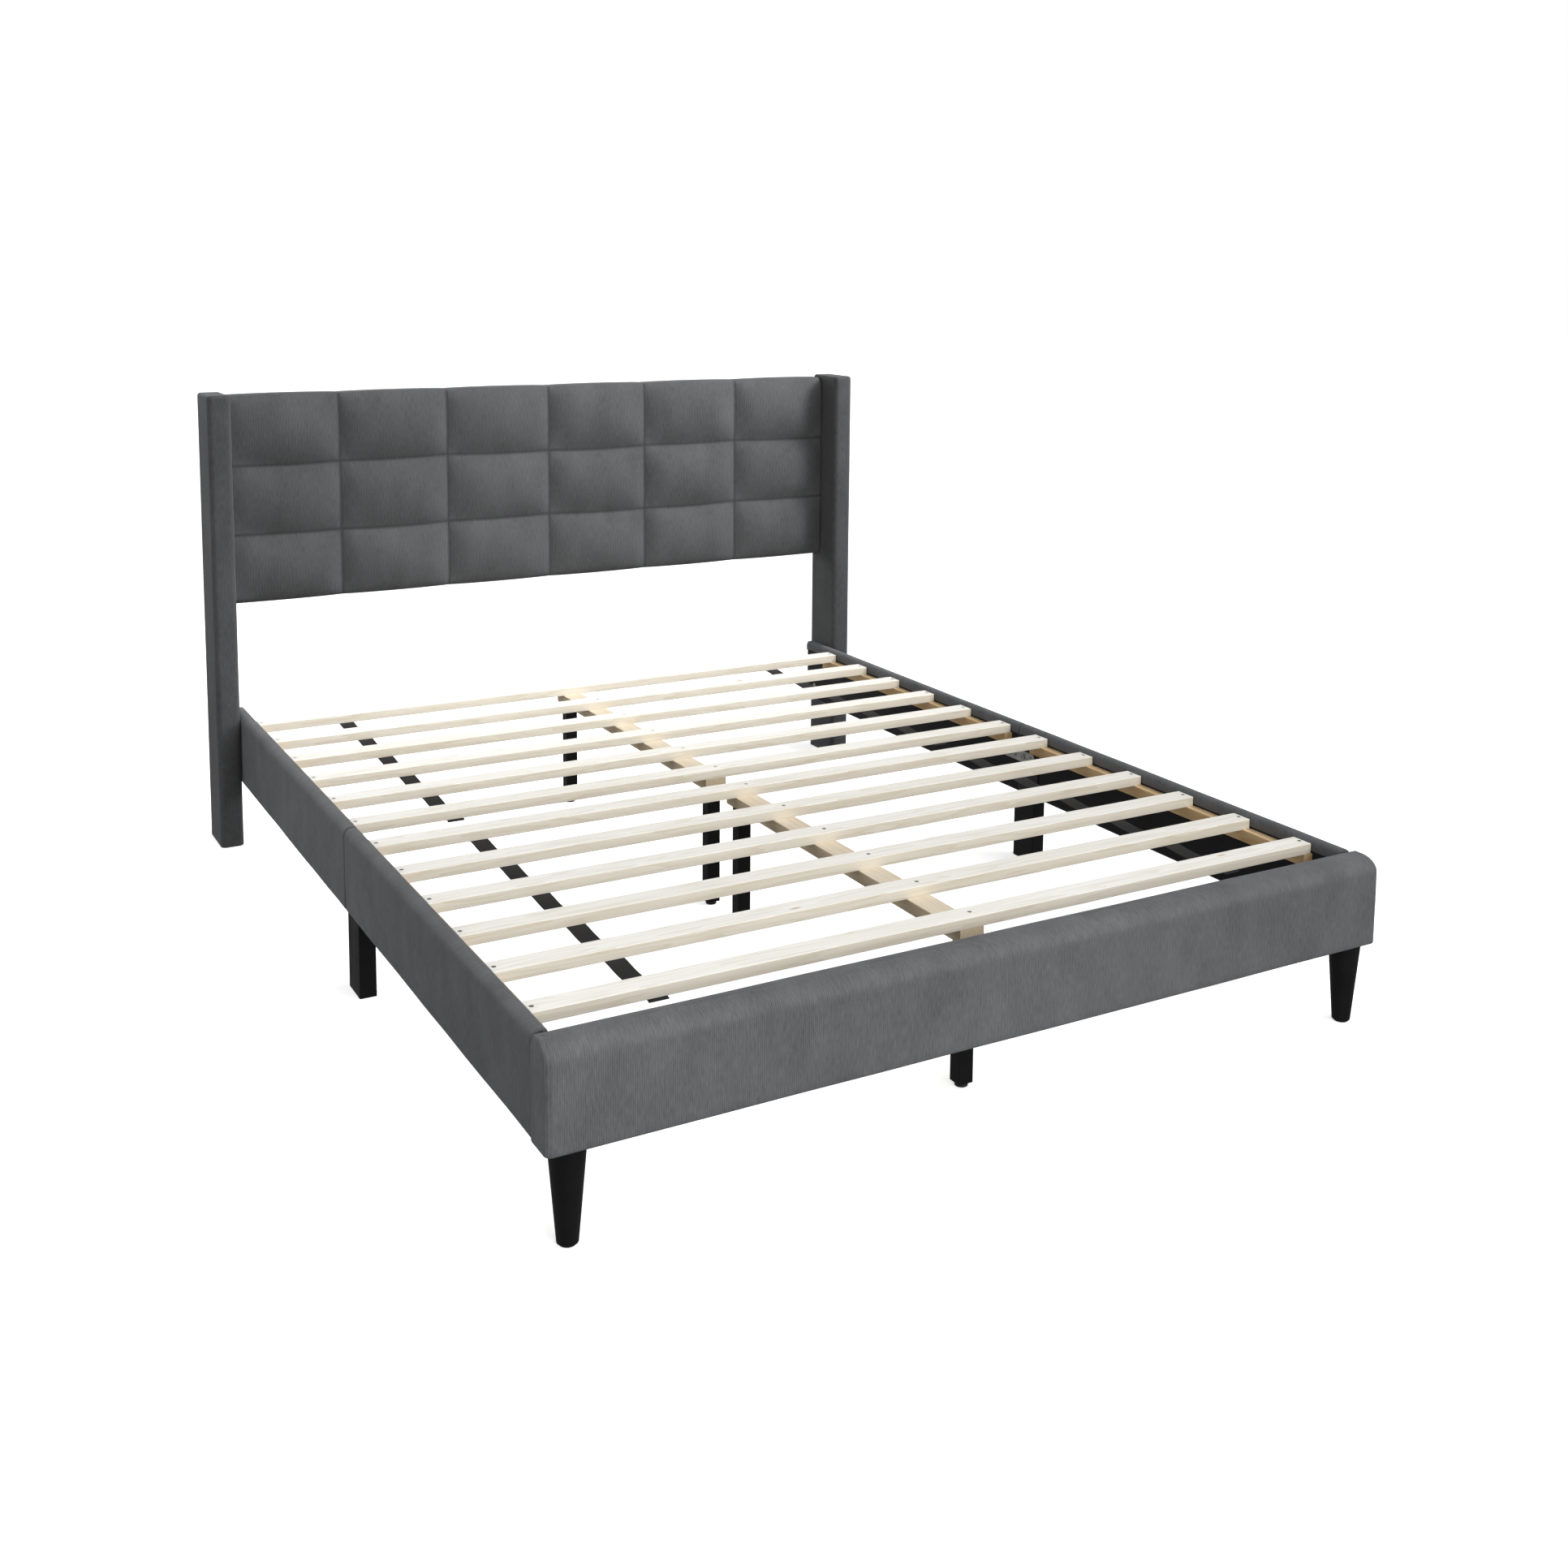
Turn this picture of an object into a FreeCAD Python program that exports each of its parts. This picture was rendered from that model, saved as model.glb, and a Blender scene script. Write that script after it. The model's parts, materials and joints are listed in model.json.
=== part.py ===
import FreeCAD, Part
import math
import os

# Upholstered wing-back platform bed for a 1600 x 2000 mm mattress.
# Millimetres. +Z is up, +Y points to the head end, +X is the width.
# The origin is on the floor at the middle of the whole bed's outline.
# "left" is the -X side and "right" is the +X side.

# ---------------------------------------------------------------- driving dimensions
MATTRESS_WIDTH = 1600.0
MATTRESS_LENGTH = 2000.0
SIDE_CLEARANCE = 11.0
LENGTH_CLEARANCE = 23.0

RAIL_THICKNESS = 29.0
RAIL_BOTTOM = 157.0
RAIL_TOP = 324.0
FOOTBOARD_THICKNESS = 66.0
FOOTBOARD_OVERHANG = 3.0

WING_THICKNESS = 55.0
WING_DEPTH = 128.0
WING_HEIGHT = 1110.0
RAIL_END_SETBACK = 26.0
HEADBOARD_DEPTH = 61.0
HEADBOARD_BOTTOM = 585.0
HEADBOARD_TOP = 1105.0

SLAT_TOP = 316.0
SLAT_THICKNESS = 20.0
SLAT_WIDTH = 46.0
SLAT_PITCH = 166.5
SLATS_PER_KIT = 6
HEAD_KIT_FRONT = 45.0
FOOT_KIT_BACK = -55.0
SLAT_END_GAP = 2.0

LEDGER_WIDTH = 22.0
LEDGER_HEIGHT = 25.0
BEAM_WIDTH = 50.0
BEAM_HEIGHT = 25.0
RAIL_SEAM_Y = 12.0

CENTRE_LEG_SIDE = 30.0
GLIDE_HEIGHT = 8.0
GLIDE_RADIUS = 12.0
GLIDE_TRAVEL = 12.0
GLIDE_THREAD_LEFT = 22.0
STEM_CLEARANCE = 0.05

BOLT_RADIUS = 4.0
BOLT_HEAD_RADIUS = 7.0
BOLT_HEAD_HEIGHT = 4.0
SCREW_RADIUS = 2.0
SCREW_HEAD_RADIUS = 4.0
SCREW_HEAD_HEIGHT = 2.4
SCREW_LENGTH = 34.0
HOLE_CLEARANCE = 0.1
PLATE = 3.0

# ---------------------------------------------------------------- derived places
INNER_X = MATTRESS_WIDTH / 2 + SIDE_CLEARANCE
RAIL_X = INNER_X + RAIL_THICKNESS
WING_X = RAIL_X + WING_THICKNESS
FOOTBOARD_X = RAIL_X + FOOTBOARD_OVERHANG
BED_LENGTH = FOOTBOARD_THICKNESS + MATTRESS_LENGTH + LENGTH_CLEARANCE + HEADBOARD_DEPTH
FOOT_Y = -BED_LENGTH / 2
HEAD_Y = BED_LENGTH / 2
FOOTBOARD_BACK = FOOT_Y + FOOTBOARD_THICKNESS
HEADBOARD_FRONT = HEAD_Y - HEADBOARD_DEPTH
WING_FRONT = HEAD_Y - WING_DEPTH
RAIL_HEAD_END = HEAD_Y - RAIL_END_SETBACK
SLAT_BOTTOM = SLAT_TOP - SLAT_THICKNESS
SLAT_X = INNER_X - SLAT_END_GAP
KIT_LENGTH = (SLATS_PER_KIT - 1) * SLAT_PITCH + SLAT_WIDTH
GLIDE_STEM_LENGTH = GLIDE_TRAVEL + GLIDE_THREAD_LEFT

# rail section: board, fabric over foam, black lining
FOAM_OUT = 8.0
FOAM_TOP = 10.0
FABRIC_IN = 4.0
FABRIC_BOTTOM = 3.0
LINING = 1.0
WRAP_DOWN = 24.0
BOARD_IN = INNER_X + FABRIC_IN
BOARD_OUT = RAIL_X - FOAM_OUT
BOARD_BOTTOM = RAIL_BOTTOM + FABRIC_BOTTOM
BOARD_TOP = RAIL_TOP - FOAM_TOP
LINING_FACE = BOARD_IN - LINING
END_WRAP = 2.0

# headboard section: fabric over foam, board, timber frame, dust cover
HEADBOARD_FOAM = 26.0
HEADBOARD_PANEL = 12.0
HEADBOARD_FABRIC = 8.0
HEADBOARD_MEMBER = 60.0
DUST_COVER = 1.5
HEADBOARD_PANEL_FRONT = HEADBOARD_FRONT + HEADBOARD_FOAM
HEADBOARD_PANEL_BACK = HEADBOARD_PANEL_FRONT + HEADBOARD_PANEL
HEADBOARD_COVER_BACK = HEAD_Y - DUST_COVER
HEADBOARD_FRAME_BACK = HEADBOARD_COVER_BACK - DUST_COVER
HEADBOARD_INNER_BOTTOM = HEADBOARD_BOTTOM + HEADBOARD_FABRIC
HEADBOARD_INNER_TOP = HEADBOARD_TOP - HEADBOARD_FABRIC

# how far the edges are rounded
HEADBOARD_EDGE = 10.0
WING_FRONT_EDGE = 12.0
WING_BACK_EDGE = 6.0
RAIL_OUTER_EDGE = 14.0
RAIL_INNER_EDGE = 12.0
RAIL_BOTTOM_EDGE = 3.0
FOOTBOARD_CORNER = 12.0
FOOTBOARD_TOP_EDGE = 10.0
SLAT_EDGE = 1.0
CLEAT_EDGE = 1.5
LEG_EDGE = 2.0
GLIDE_EDGE = 1.5
JOINER_CORNER = 8.0

SIDES = {"left": -1, "right": 1}


# ---------------------------------------------------------------- helpers
def block(x0, x1, y0, y1, z0, z1):
    """Axis-aligned box between two corners given in any order."""
    xs, ys, zs = sorted((x0, x1)), sorted((y0, y1)), sorted((z0, z1))
    return Part.makeBox(
        xs[1] - xs[0], ys[1] - ys[0], zs[1] - zs[0],
        FreeCAD.Vector(xs[0], ys[0], zs[0]))


def rod(radius, start, end):
    """Round bar between two points."""
    a, b = FreeCAD.Vector(*start), FreeCAD.Vector(*end)
    return Part.makeCylinder(radius, (b - a).Length, a, b - a)


def mirrored(shape):
    """The same piece on the other side of the bed."""
    return shape.mirror(FreeCAD.Vector(0, 0, 0), FreeCAD.Vector(1, 0, 0))


def on_side(shape, side):
    """A piece drawn on the right side, placed on the named side."""
    return shape if SIDES[side] > 0 else mirrored(shape)


def both_sides(shapes):
    """Each piece and its mirror image."""
    return shapes + [mirrored(shape) for shape in shapes]


def edges_along(shape, axis, x=None, y=None, z=None):
    """Straight edges parallel to an axis that pass through the stated coordinates."""
    wanted = {0: x, 1: y, 2: z}
    found = []
    for edge in shape.Edges:
        a, b = edge.Vertexes[0].Point, edge.Vertexes[-1].Point
        if abs((b - a)[axis]) < 0.999 * edge.Length or edge.Length < 1.0:
            continue
        middle = (a + b) * 0.5
        if all(v is None or abs(middle[i] - v) < 0.01 for i, v in wanted.items()):
            found.append(edge)
    return found


def soften(shape, radius, axis, **through):
    """Round the chosen edges."""
    return shape.makeFillet(radius, edges_along(shape, axis, **through))


def drilled(shape, radius, start, end):
    """Cut a round hole with running room for a fastener of this radius."""
    return shape.cut(rod(radius + HOLE_CLEARANCE, start, end))


def hex_bolt(head_face, tip, radius=BOLT_RADIUS):
    """Round-headed bolt with a hexagon socket; head_face is where the head seats."""
    a, b = FreeCAD.Vector(*head_face), FreeCAD.Vector(*tip)
    way = (b - a).normalize()
    shank = Part.makeCylinder(radius, (b - a).Length, a, way)
    head = Part.makeCylinder(BOLT_HEAD_RADIUS, BOLT_HEAD_HEIGHT, a, way * -1)
    bolt = shank.fuse(head).removeSplitter()
    socket_radius, socket_depth = 3.0, 2.5
    across = FreeCAD.Vector(0, 0, 1) if abs(way.z) < 0.5 else FreeCAD.Vector(1, 0, 0)
    other = way.cross(across)
    top = a - way * BOLT_HEAD_HEIGHT
    ring = []
    for step in range(7):
        turn = FreeCAD.Rotation(way, 60.0 * step)
        ring.append(top + turn.multVec(other * socket_radius))
    socket = Part.Face(Part.makePolygon(ring)).extrude(way * socket_depth)
    return bolt.cut(socket)


def export(name, shapes):
    """Write one sub-part; a group of identical pieces stays a group of separate solids."""
    solids = [solid for shape in shapes for solid in shape.Solids]
    for solid in solids:
        if not solid.isValid() or solid.Volume <= 0:
            raise ValueError("bad solid in " + name)
    shape = solids[0] if len(solids) == 1 else Part.makeCompound(solids)
    shape.exportStep(os.path.join("parts", name + ".step"))


# ---------------------------------------------------------------- fastener places
# All on the right side; the left side mirrors them.
HEAD_BOLT_SETBACK = 14.0
HEAD_BOLT_END_WALL = 20.0
HEAD_BOLT_Y = HEADBOARD_FRONT - HEAD_BOLT_SETBACK
HEAD_BOLT_HEIGHTS = (200.0, 275.0)
HEADBOARD_BOLT_Y = (HEADBOARD_PANEL_BACK + HEADBOARD_FRAME_BACK) / 2
HEADBOARD_BOLT_POCKET = 16.0
HEADBOARD_BOLT_REACH = 40.0
HEADBOARD_BOLT_HEIGHTS = (700.0, 1000.0)
FOOT_BRACKET_BOTTOM = 180.0
FOOT_BRACKET_TOP = 250.0
FOOT_BRACKET_REACH = 60.0
FOOT_BOLT_HEIGHT = 215.0
FOOT_LINING_FACE = FOOTBOARD_BACK + LINING
FOOT_BOLT_OFFSET = 40.0
FOOT_RAIL_BOLT_Y = FOOT_LINING_FACE + FOOT_BOLT_OFFSET
FOOT_BOARD_BOLT_X = LINING_FACE - FOOT_BOLT_OFFSET
FOOT_BOARD_BOLT_REACH = 15.0
BOLT_TIP_COVER = 2.0
JOINER_BOTTOM = 234.0
JOINER_TOP = 262.0
JOINER_HALF = 60.0
JOINER_BOLT_OFFSETS = (-42.0, -18.0, 18.0, 42.0)
MID_LEG_WIDTH = 34.0
MID_LEG_DEPTH = 76.0
MID_LEG_INSET = 5.0
MID_LEG_STUD_SHIFT = 5.0
MID_BRACKET_TOP = 226.0
MID_BRACKET_BOLT_Z = 211.0
FRONT_LEG_X = 797.0
FRONT_LEG_Y = FOOT_Y + 35.0
FRONT_LEG_TOP_RADIUS = 30.0
FRONT_LEG_FOOT_RADIUS = 17.0
STUD_UP = 38.0
CENTRE_STUD_UP = 22.0
STUD_DOWN = 34.0
STUD_END_ROOM = 1.0


def head_bolt_line(z):
    """Bolt from inside the rail into the wing post."""
    return (LINING_FACE, HEAD_BOLT_Y, z), (WING_X - HEAD_BOLT_END_WALL, HEAD_BOLT_Y, z)


def headboard_bolt_line(z):
    """Bolt from inside the wing post into the headboard frame."""
    return (WING_X - HEADBOARD_BOLT_POCKET, HEADBOARD_BOLT_Y, z), (
        RAIL_X - HEADBOARD_BOLT_REACH, HEADBOARD_BOLT_Y, z)


def foot_rail_bolt_line():
    """Bolt from the foot corner bracket into the side rail."""
    return (LINING_FACE - PLATE, FOOT_RAIL_BOLT_Y, FOOT_BOLT_HEIGHT), (
        BOARD_OUT - BOLT_TIP_COVER, FOOT_RAIL_BOLT_Y, FOOT_BOLT_HEIGHT)


def foot_board_bolt_line():
    """Bolt from the foot corner bracket into the footboard."""
    return (FOOT_BOARD_BOLT_X, FOOT_LINING_FACE + PLATE, FOOT_BOLT_HEIGHT), (
        FOOT_BOARD_BOLT_X, FOOTBOARD_BACK - FABRIC_IN - FOOT_BOARD_BOLT_REACH, FOOT_BOLT_HEIGHT)


def joiner_bolt_line(offset):
    """Bolt from the rail joiner plate into a rail board."""
    z = (JOINER_BOTTOM + JOINER_TOP) / 2
    y = RAIL_SEAM_Y + offset
    return (LINING_FACE - PLATE, y, z), (BOARD_OUT - BOLT_TIP_COVER, y, z)


def mid_bracket_bolt_line():
    """Bolt from the mid-leg bracket into the rail board."""
    y = RAIL_SEAM_Y - MID_LEG_DEPTH / 2
    return (LINING_FACE - PLATE, y, MID_BRACKET_BOLT_Z), (
        BOARD_OUT - BOLT_TIP_COVER, y, MID_BRACKET_BOLT_Z)


def stud_line(x, y, z, up=STUD_UP):
    """Hanger bolt: z is the height of the joint between a leg and what it carries."""
    return (x, y, z - STUD_DOWN), (x, y, z + up)


# ---------------------------------------------------------------- headboard
def headboard_pad():
    """Padded front of the headboard with the fabric turned over top and bottom."""
    pad = block(
        -RAIL_X, RAIL_X, HEADBOARD_FRONT, HEADBOARD_COVER_BACK,
        HEADBOARD_BOTTOM, HEADBOARD_TOP)
    pad = soften(pad, HEADBOARD_EDGE, 0, y=HEADBOARD_FRONT)
    inside = block(
        -RAIL_X - 1, RAIL_X + 1, HEADBOARD_PANEL_FRONT, HEAD_Y,
        HEADBOARD_INNER_BOTTOM, HEADBOARD_INNER_TOP)
    return pad.cut(inside)


def headboard_board():
    """Flat panel that the foam lies on."""
    return block(
        -RAIL_X, RAIL_X, HEADBOARD_PANEL_FRONT, HEADBOARD_PANEL_BACK,
        HEADBOARD_INNER_BOTTOM, HEADBOARD_INNER_TOP)


def headboard_frame():
    """Timber rails and uprights behind the panel."""
    member = HEADBOARD_MEMBER
    y0, y1 = HEADBOARD_PANEL_BACK, HEADBOARD_FRAME_BACK
    z0, z1 = HEADBOARD_INNER_BOTTOM, HEADBOARD_INNER_TOP
    pieces = [
        block(-RAIL_X, RAIL_X, y0, y1, z0, z0 + member),
        block(-RAIL_X, RAIL_X, y0, y1, z1 - member, z1),
    ]
    for share in (-1.0, -0.5, 0.0, 0.5, 1.0):
        middle = share * (RAIL_X - member / 2)
        upright = block(
            middle - member / 2, middle + member / 2, y0, y1, z0 + member, z1 - member)
        pieces.append(upright)
    for z in HEADBOARD_BOLT_HEIGHTS:
        start, end = headboard_bolt_line(z)
        hole = rod(BOLT_RADIUS + HOLE_CLEARANCE, start, (end[0] - 1, end[1], end[2]))
        pieces = [piece.cut(hole).cut(mirrored(hole)) for piece in pieces]
    return pieces


def headboard_back_cover():
    """Thin dust cover that closes the back of the headboard."""
    return block(
        -RAIL_X, RAIL_X, HEADBOARD_FRAME_BACK, HEADBOARD_COVER_BACK,
        HEADBOARD_INNER_BOTTOM, HEADBOARD_INNER_TOP)


# ---------------------------------------------------------------- wing posts
WING_FOAM_SIDE = 10.0
WING_FOAM_FRONT = 14.0
WING_FOAM_BACK = 7.0
WING_FOAM_TOP = 12.0


def wing_core_box():
    """Space that the timber post fills inside its upholstery."""
    return block(
        RAIL_X + WING_FOAM_SIDE, WING_X - WING_FOAM_SIDE,
        WING_FRONT + WING_FOAM_FRONT, HEAD_Y - WING_FOAM_BACK,
        0, WING_HEIGHT - WING_FOAM_TOP)


def wing_bolt_holes(shape):
    """Holes for the rail bolts and the headboard bolts, and pockets for their heads."""
    for z in HEAD_BOLT_HEIGHTS:
        start, end = head_bolt_line(z)
        shape = drilled(shape, BOLT_RADIUS, start, (end[0] + 1, end[1], end[2]))
    for z in HEADBOARD_BOLT_HEIGHTS:
        start, end = headboard_bolt_line(z)
        shape = drilled(shape, BOLT_RADIUS, start, end)
        pocket_end = (start[0] + BOLT_HEAD_HEIGHT + 1, start[1], start[2])
        shape = shape.cut(rod(BOLT_HEAD_RADIUS + 0.5, start, pocket_end))
    return shape


def wing_post():
    """Timber post from the floor to the top of the wing."""
    return wing_bolt_holes(wing_core_box())


def wing_cover():
    """Foam and fabric sleeve around the post, closed at the top."""
    sleeve = block(RAIL_X, WING_X, WING_FRONT, HEAD_Y, 0, WING_HEIGHT)
    sleeve = soften(sleeve, WING_FRONT_EDGE, 2, y=WING_FRONT)
    sleeve = soften(sleeve, WING_BACK_EDGE, 2, y=HEAD_Y)
    sleeve = sleeve.cut(wing_core_box())
    return wing_bolt_holes(sleeve)


# ---------------------------------------------------------------- side rails
RAIL_HALVES = {
    "head": (RAIL_SEAM_Y, RAIL_HEAD_END),
    "foot": (FOOTBOARD_BACK, RAIL_SEAM_Y),
}


def rail_holes(shape):
    """Every fastener hole in the right rail; those outside a half cut nothing."""
    lines = [head_bolt_line(z) for z in HEAD_BOLT_HEIGHTS]
    lines.append(foot_rail_bolt_line())
    lines.append(mid_bracket_bolt_line())
    lines += [joiner_bolt_line(offset) for offset in JOINER_BOLT_OFFSETS]
    for start, end in lines:
        shape = drilled(shape, BOLT_RADIUS, start, (end[0] + 1, end[1], end[2]))
    start, end = stud_line(*MID_LEG_STUD)
    return drilled(shape, BOLT_RADIUS, start, (end[0], end[1], end[2] + STUD_END_ROOM))


def rail_board(half):
    """Engineered-wood board inside the rail."""
    y0, y1 = RAIL_HALVES[half]
    board = block(BOARD_IN, BOARD_OUT, y0 + END_WRAP, y1 - END_WRAP, BOARD_BOTTOM, BOARD_TOP)
    return rail_holes(board)


def rail_cover(half):
    """Foam and ribbed fabric over the outside, top, ends and inner lip of the board."""
    y0, y1 = RAIL_HALVES[half]
    cover = block(INNER_X, RAIL_X, y0, y1, RAIL_BOTTOM, RAIL_TOP)
    cover = soften(cover, RAIL_OUTER_EDGE, 1, x=RAIL_X, z=RAIL_TOP)
    cover = soften(cover, RAIL_INNER_EDGE, 1, x=INNER_X, z=RAIL_TOP)
    cover = soften(cover, RAIL_BOTTOM_EDGE, 1, x=RAIL_X, z=RAIL_BOTTOM)
    cover = cover.cut(block(
        INNER_X, BOARD_IN, y0, y1, RAIL_BOTTOM, RAIL_TOP - WRAP_DOWN))
    cover = cover.cut(block(
        BOARD_IN, BOARD_OUT, y0 + END_WRAP, y1 - END_WRAP, BOARD_BOTTOM, BOARD_TOP))
    return rail_holes(cover)


def rail_lining(half):
    """Black lining on the inner face of the board, below the fabric lip."""
    y0, y1 = RAIL_HALVES[half]
    sheet = block(
        LINING_FACE, BOARD_IN, y0 + END_WRAP, y1 - END_WRAP,
        BOARD_BOTTOM, RAIL_TOP - WRAP_DOWN)
    return rail_holes(sheet)


# ---------------------------------------------------------------- slat kits
KIT_SPANS = {
    "head": (HEAD_KIT_FRONT, HEAD_KIT_FRONT + KIT_LENGTH),
    "foot": (FOOT_KIT_BACK - KIT_LENGTH, FOOT_KIT_BACK),
}
SCREW_FROM_SLAT_END = 8.0
END_SCREW_X = SLAT_X - SCREW_FROM_SLAT_END
BEAM_SCREW_X = 10.0
SCREW_XS = (-END_SCREW_X, BEAM_SCREW_X, END_SCREW_X)


def slat_middles():
    """Middle of each slat along the bed, from the head end to the foot end."""
    head = [KIT_SPANS["head"][1] - SLAT_WIDTH / 2 - i * SLAT_PITCH for i in range(SLATS_PER_KIT)]
    foot = [KIT_SPANS["foot"][1] - SLAT_WIDTH / 2 - i * SLAT_PITCH for i in range(SLATS_PER_KIT)]
    return head + foot


def screw(x, y, grow=0.0):
    """Countersunk wood screw standing in a slat, head flush with its top."""
    shank = Part.makeCylinder(
        SCREW_RADIUS + grow, SCREW_LENGTH + grow,
        FreeCAD.Vector(x, y, SLAT_TOP - SCREW_LENGTH - grow))
    head = Part.makeCone(
        SCREW_RADIUS + grow, SCREW_HEAD_RADIUS + grow, SCREW_HEAD_HEIGHT,
        FreeCAD.Vector(x, y, SLAT_TOP - SCREW_HEAD_HEIGHT))
    return shank.fuse(head).removeSplitter()


def screw_holed(shape, xs, ys):
    """Cut screw holes with a little running room."""
    for x in xs:
        for y in ys:
            shape = shape.cut(screw(x, y, HOLE_CLEARANCE))
    return shape


def slat(y):
    """Pine slat with eased long edges."""
    body = block(
        -SLAT_X, SLAT_X, y - SLAT_WIDTH / 2, y + SLAT_WIDTH / 2, SLAT_BOTTOM, SLAT_TOP)
    body = soften(body, SLAT_EDGE, 0)
    return screw_holed(body, SCREW_XS, [y])


def ledger(kit):
    """Pine cleat on the inside of a side rail that carries the slat ends."""
    y0, y1 = KIT_SPANS[kit]
    cleat = block(
        LINING_FACE - LEDGER_WIDTH, LINING_FACE, y0, y1,
        SLAT_BOTTOM - LEDGER_HEIGHT, SLAT_BOTTOM)
    cleat = soften(cleat, CLEAT_EDGE, 1)
    return screw_holed(cleat, [END_SCREW_X], [y for y in slat_middles() if y0 < y < y1])


def centre_leg_places(kit):
    """The two legs of a kit stand under its first and last slats."""
    y0, y1 = KIT_SPANS[kit]
    return [y1 - SLAT_WIDTH / 2, y0 + SLAT_WIDTH / 2]


def centre_beam(kit):
    """Pine beam under the middle of the slats."""
    y0, y1 = KIT_SPANS[kit]
    beam = block(-BEAM_WIDTH / 2, BEAM_WIDTH / 2, y0, y1, SLAT_BOTTOM - BEAM_HEIGHT, SLAT_BOTTOM)
    beam = soften(beam, CLEAT_EDGE, 1)
    beam = screw_holed(beam, [BEAM_SCREW_X], [y for y in slat_middles() if y0 < y < y1])
    for y in centre_leg_places(kit):
        start, end = stud_line(*centre_stud(y))
        beam = drilled(beam, BOLT_RADIUS, start, (end[0], end[1], end[2] + STUD_END_ROOM))
    return beam


def strap(kit):
    """Webbing that ties a kit's slats together from below."""
    width, thickness = 35.0, 1.5
    tail = 5.0
    x = 600.0
    y0, y1 = KIT_SPANS[kit]
    return block(
        x - width / 2, x + width / 2, y0 - tail, y1 + tail,
        SLAT_BOTTOM - thickness, SLAT_BOTTOM)


# ---------------------------------------------------------------- legs
BEAM_BOTTOM = SLAT_BOTTOM - BEAM_HEIGHT


def centre_stud(y):
    """Joint between a centre leg and the beam; its stud stops just under the slat."""
    return (0.0, y, BEAM_BOTTOM, CENTRE_STUD_UP)


MID_LEG_STUD = (
    RAIL_X - MID_LEG_INSET - MID_LEG_WIDTH / 2 + MID_LEG_STUD_SHIFT,
    RAIL_SEAM_Y - MID_LEG_DEPTH / 2,
    RAIL_BOTTOM)
FRONT_LEG_STUD = (FRONT_LEG_X, FRONT_LEG_Y, RAIL_BOTTOM)


def centre_leg(y):
    """Square centre leg with a threaded socket for its levelling glide."""
    half = CENTRE_LEG_SIDE / 2
    leg = block(-half, half, y - half, y + half, GLIDE_HEIGHT, BEAM_BOTTOM)
    leg = soften(leg, LEG_EDGE, 2)
    socket_top = GLIDE_HEIGHT + GLIDE_STEM_LENGTH + STUD_END_ROOM
    leg = leg.cut(rod(BOLT_RADIUS + STEM_CLEARANCE, (0, y, GLIDE_HEIGHT), (0, y, socket_top)))
    start, end = stud_line(*centre_stud(y))
    return drilled(leg, BOLT_RADIUS, (start[0], start[1], start[2] - STUD_END_ROOM), end)


def levelling_glide(y):
    """Round plastic foot on a threaded stem."""
    foot = Part.makeCylinder(GLIDE_RADIUS, GLIDE_HEIGHT, FreeCAD.Vector(0, y, 0))
    rims = [edge for edge in foot.Edges if abs(edge.Length - 2 * math.pi * GLIDE_RADIUS) < 0.1]
    foot = foot.makeFillet(GLIDE_EDGE, rims)
    stem = rod(BOLT_RADIUS, (0, y, GLIDE_HEIGHT), (0, y, GLIDE_HEIGHT + GLIDE_STEM_LENGTH))
    return foot.fuse(stem).removeSplitter()


def mid_leg():
    """Flat-sided leg under the seam of a side rail."""
    x1 = RAIL_X - MID_LEG_INSET
    leg = block(
        x1 - MID_LEG_WIDTH, x1, RAIL_SEAM_Y - MID_LEG_DEPTH, RAIL_SEAM_Y,
        0, RAIL_BOTTOM - PLATE)
    leg = soften(leg, LEG_EDGE, 2)
    start, end = stud_line(*MID_LEG_STUD)
    return drilled(leg, BOLT_RADIUS, (start[0], start[1], start[2] - STUD_END_ROOM), end)


def mid_leg_bracket():
    """Steel angle between the top of the mid leg and the inside of the rail."""
    x1 = RAIL_X - MID_LEG_INSET
    y0, y1 = RAIL_SEAM_Y - MID_LEG_DEPTH, RAIL_SEAM_Y
    flat = block(x1 - MID_LEG_WIDTH, x1, y0, y1, RAIL_BOTTOM - PLATE, RAIL_BOTTOM)
    wall = block(
        LINING_FACE - PLATE, LINING_FACE, y0, y1, RAIL_BOTTOM - PLATE, MID_BRACKET_TOP)
    angle = flat.fuse(wall).removeSplitter()
    start, end = mid_bracket_bolt_line()
    angle = drilled(angle, BOLT_RADIUS, start, end)
    start, end = stud_line(*MID_LEG_STUD)
    return drilled(angle, BOLT_RADIUS, start, end)


def front_leg():
    """Round tapered leg with a softened toe, under a corner of the footboard."""
    toe = 4.0
    low, high = FRONT_LEG_FOOT_RADIUS, FRONT_LEG_TOP_RADIUS
    profile = Part.makePolygon([
        FreeCAD.Vector(0, 0, 0),
        FreeCAD.Vector(low - toe, 0, 0),
        FreeCAD.Vector(low, 0, toe),
        FreeCAD.Vector(high, 0, RAIL_BOTTOM),
        FreeCAD.Vector(0, 0, RAIL_BOTTOM),
        FreeCAD.Vector(0, 0, 0),
    ])
    leg = Part.Face(profile).revolve(FreeCAD.Vector(0, 0, 0), FreeCAD.Vector(0, 0, 1), 360)
    leg.translate(FreeCAD.Vector(FRONT_LEG_X, FRONT_LEG_Y, 0))
    start, end = stud_line(*FRONT_LEG_STUD)
    return drilled(leg, BOLT_RADIUS, (start[0], start[1], start[2] - STUD_END_ROOM), end)


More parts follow.
